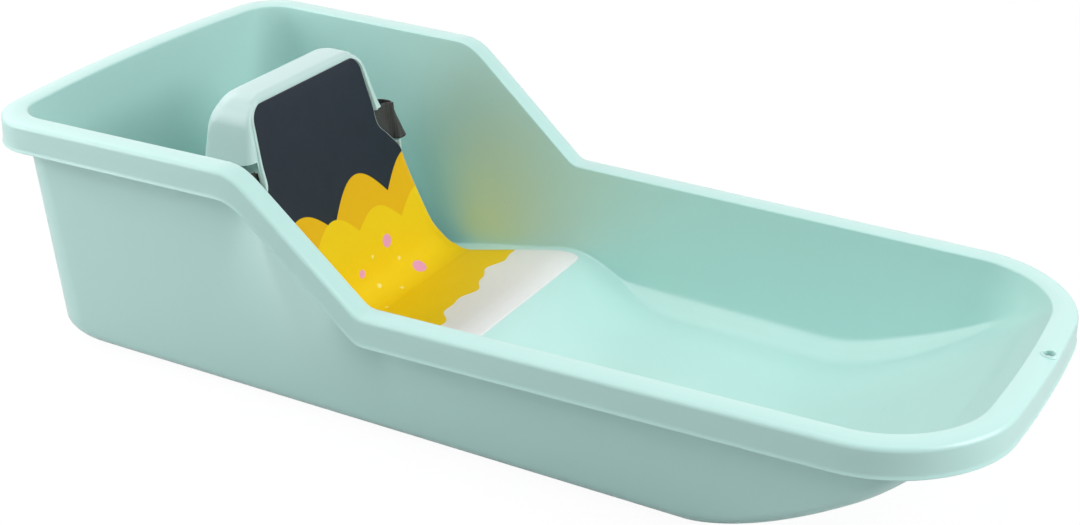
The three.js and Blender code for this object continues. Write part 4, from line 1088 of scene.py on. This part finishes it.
def pale_floor():
    """A white floor that the camera sees brightened, with a soft shadow left on it."""
    mesh = bpy.data.meshes.new("floor")
    corners = [(x * FLOOR_HALF, y * FLOOR_HALF, 0) for x, y in ((-1, -1), (1, -1), (1, 1), (-1, 1))]
    mesh.from_pydata(corners, [], [(0, 1, 2, 3)])
    obj = make_object("floor", mesh)
    mat = material("pale_floor", FLOOR_GREY, 0.8)
    path = node(mat, "ShaderNodeLightPath")
    blend = node(mat, "ShaderNodeMixShader")
    link(mat, times(mat, path.outputs["Is Camera Ray"], FLOOR_SEEN), blend.inputs[0])
    link(mat, principled(mat).outputs[0], blend.inputs[1])
    link(mat, node(mat, "ShaderNodeEmission", Strength=FLOOR_GLOW).outputs[0], blend.inputs[2])
    link(mat, blend.outputs[0], mat.node_tree.nodes["Material Output"].inputs["Surface"])
    obj.data.materials.append(mat)


def area(name, place, target, size, power):
    light = bpy.data.lights.new(name, "AREA")
    light.shape, light.size, light.energy = "SQUARE", size, power
    obj = make_object(name, light)
    obj.location = place
    obj.rotation_euler = (Vector(target) - Vector(place)).to_track_quat("-Z", "Y").to_euler()


pale_world()
pale_floor()
for name, values in LAMPS.items():
    area(name, *values)
bpy.context.scene.view_settings.view_transform = "Standard"

# The photograph's camera, with its angles in degrees. It was solved from the outline of a first model that
# was a little larger and had its bottom at SOLVED_FLOOR, so it is scaled and moved with that model.

AZIMUTH, ELEVATION, ROLL = 29.863, 26.494, 0.3
SOLVED_AIM, SOLVED_PLACE = (0, 0, 120), (6.106, -12.609, 1631.7)
SOLVED_FLOOR, SOLVED_SCALE, SOLVED_SHIFT = -7.4, 0.97865, 2.35
PHOTO_WIDTH, FOCAL_PIXELS, CENTRE_PIXELS, SENSOR = 1080, 1732.68, (-0.77, 0.87), 36


def camera():
    """Places the camera by its azimuth, elevation and roll, and along its own three axes."""
    az, el, roll = (math.radians(angle) for angle in (AZIMUTH, ELEVATION, ROLL))
    back = Vector((math.sin(az) * math.cos(el), -math.cos(az) * math.cos(el), math.sin(el)))
    right = Vector((math.cos(az), math.sin(az), 0))
    up = back.cross(right)
    place = Vector(SOLVED_AIM) + back * SOLVED_PLACE[2] + right * SOLVED_PLACE[0] + up * SOLVED_PLACE[1]
    place = (place - Vector((0, 0, SOLVED_FLOOR))) * SOLVED_SCALE + Vector((SOLVED_SHIFT, 0, RUNNER_DEPTH))
    turned_right = right * math.cos(roll) + up * math.sin(roll)
    turned_up = -right * math.sin(roll) + up * math.cos(roll)
    data = bpy.data.cameras.new("camera")
    data.sensor_width = SENSOR
    data.lens = FOCAL_PIXELS * SENSOR / PHOTO_WIDTH
    data.shift_x, data.shift_y = (pixels / PHOTO_WIDTH for pixels in CENTRE_PIXELS)
    obj = make_object("camera", data)
    turn = Matrix((turned_right, turned_up, back)).transposed().to_4x4()
    obj.matrix_world = Matrix.Translation(place * MM) @ turn
    bpy.context.scene.camera = obj


camera()
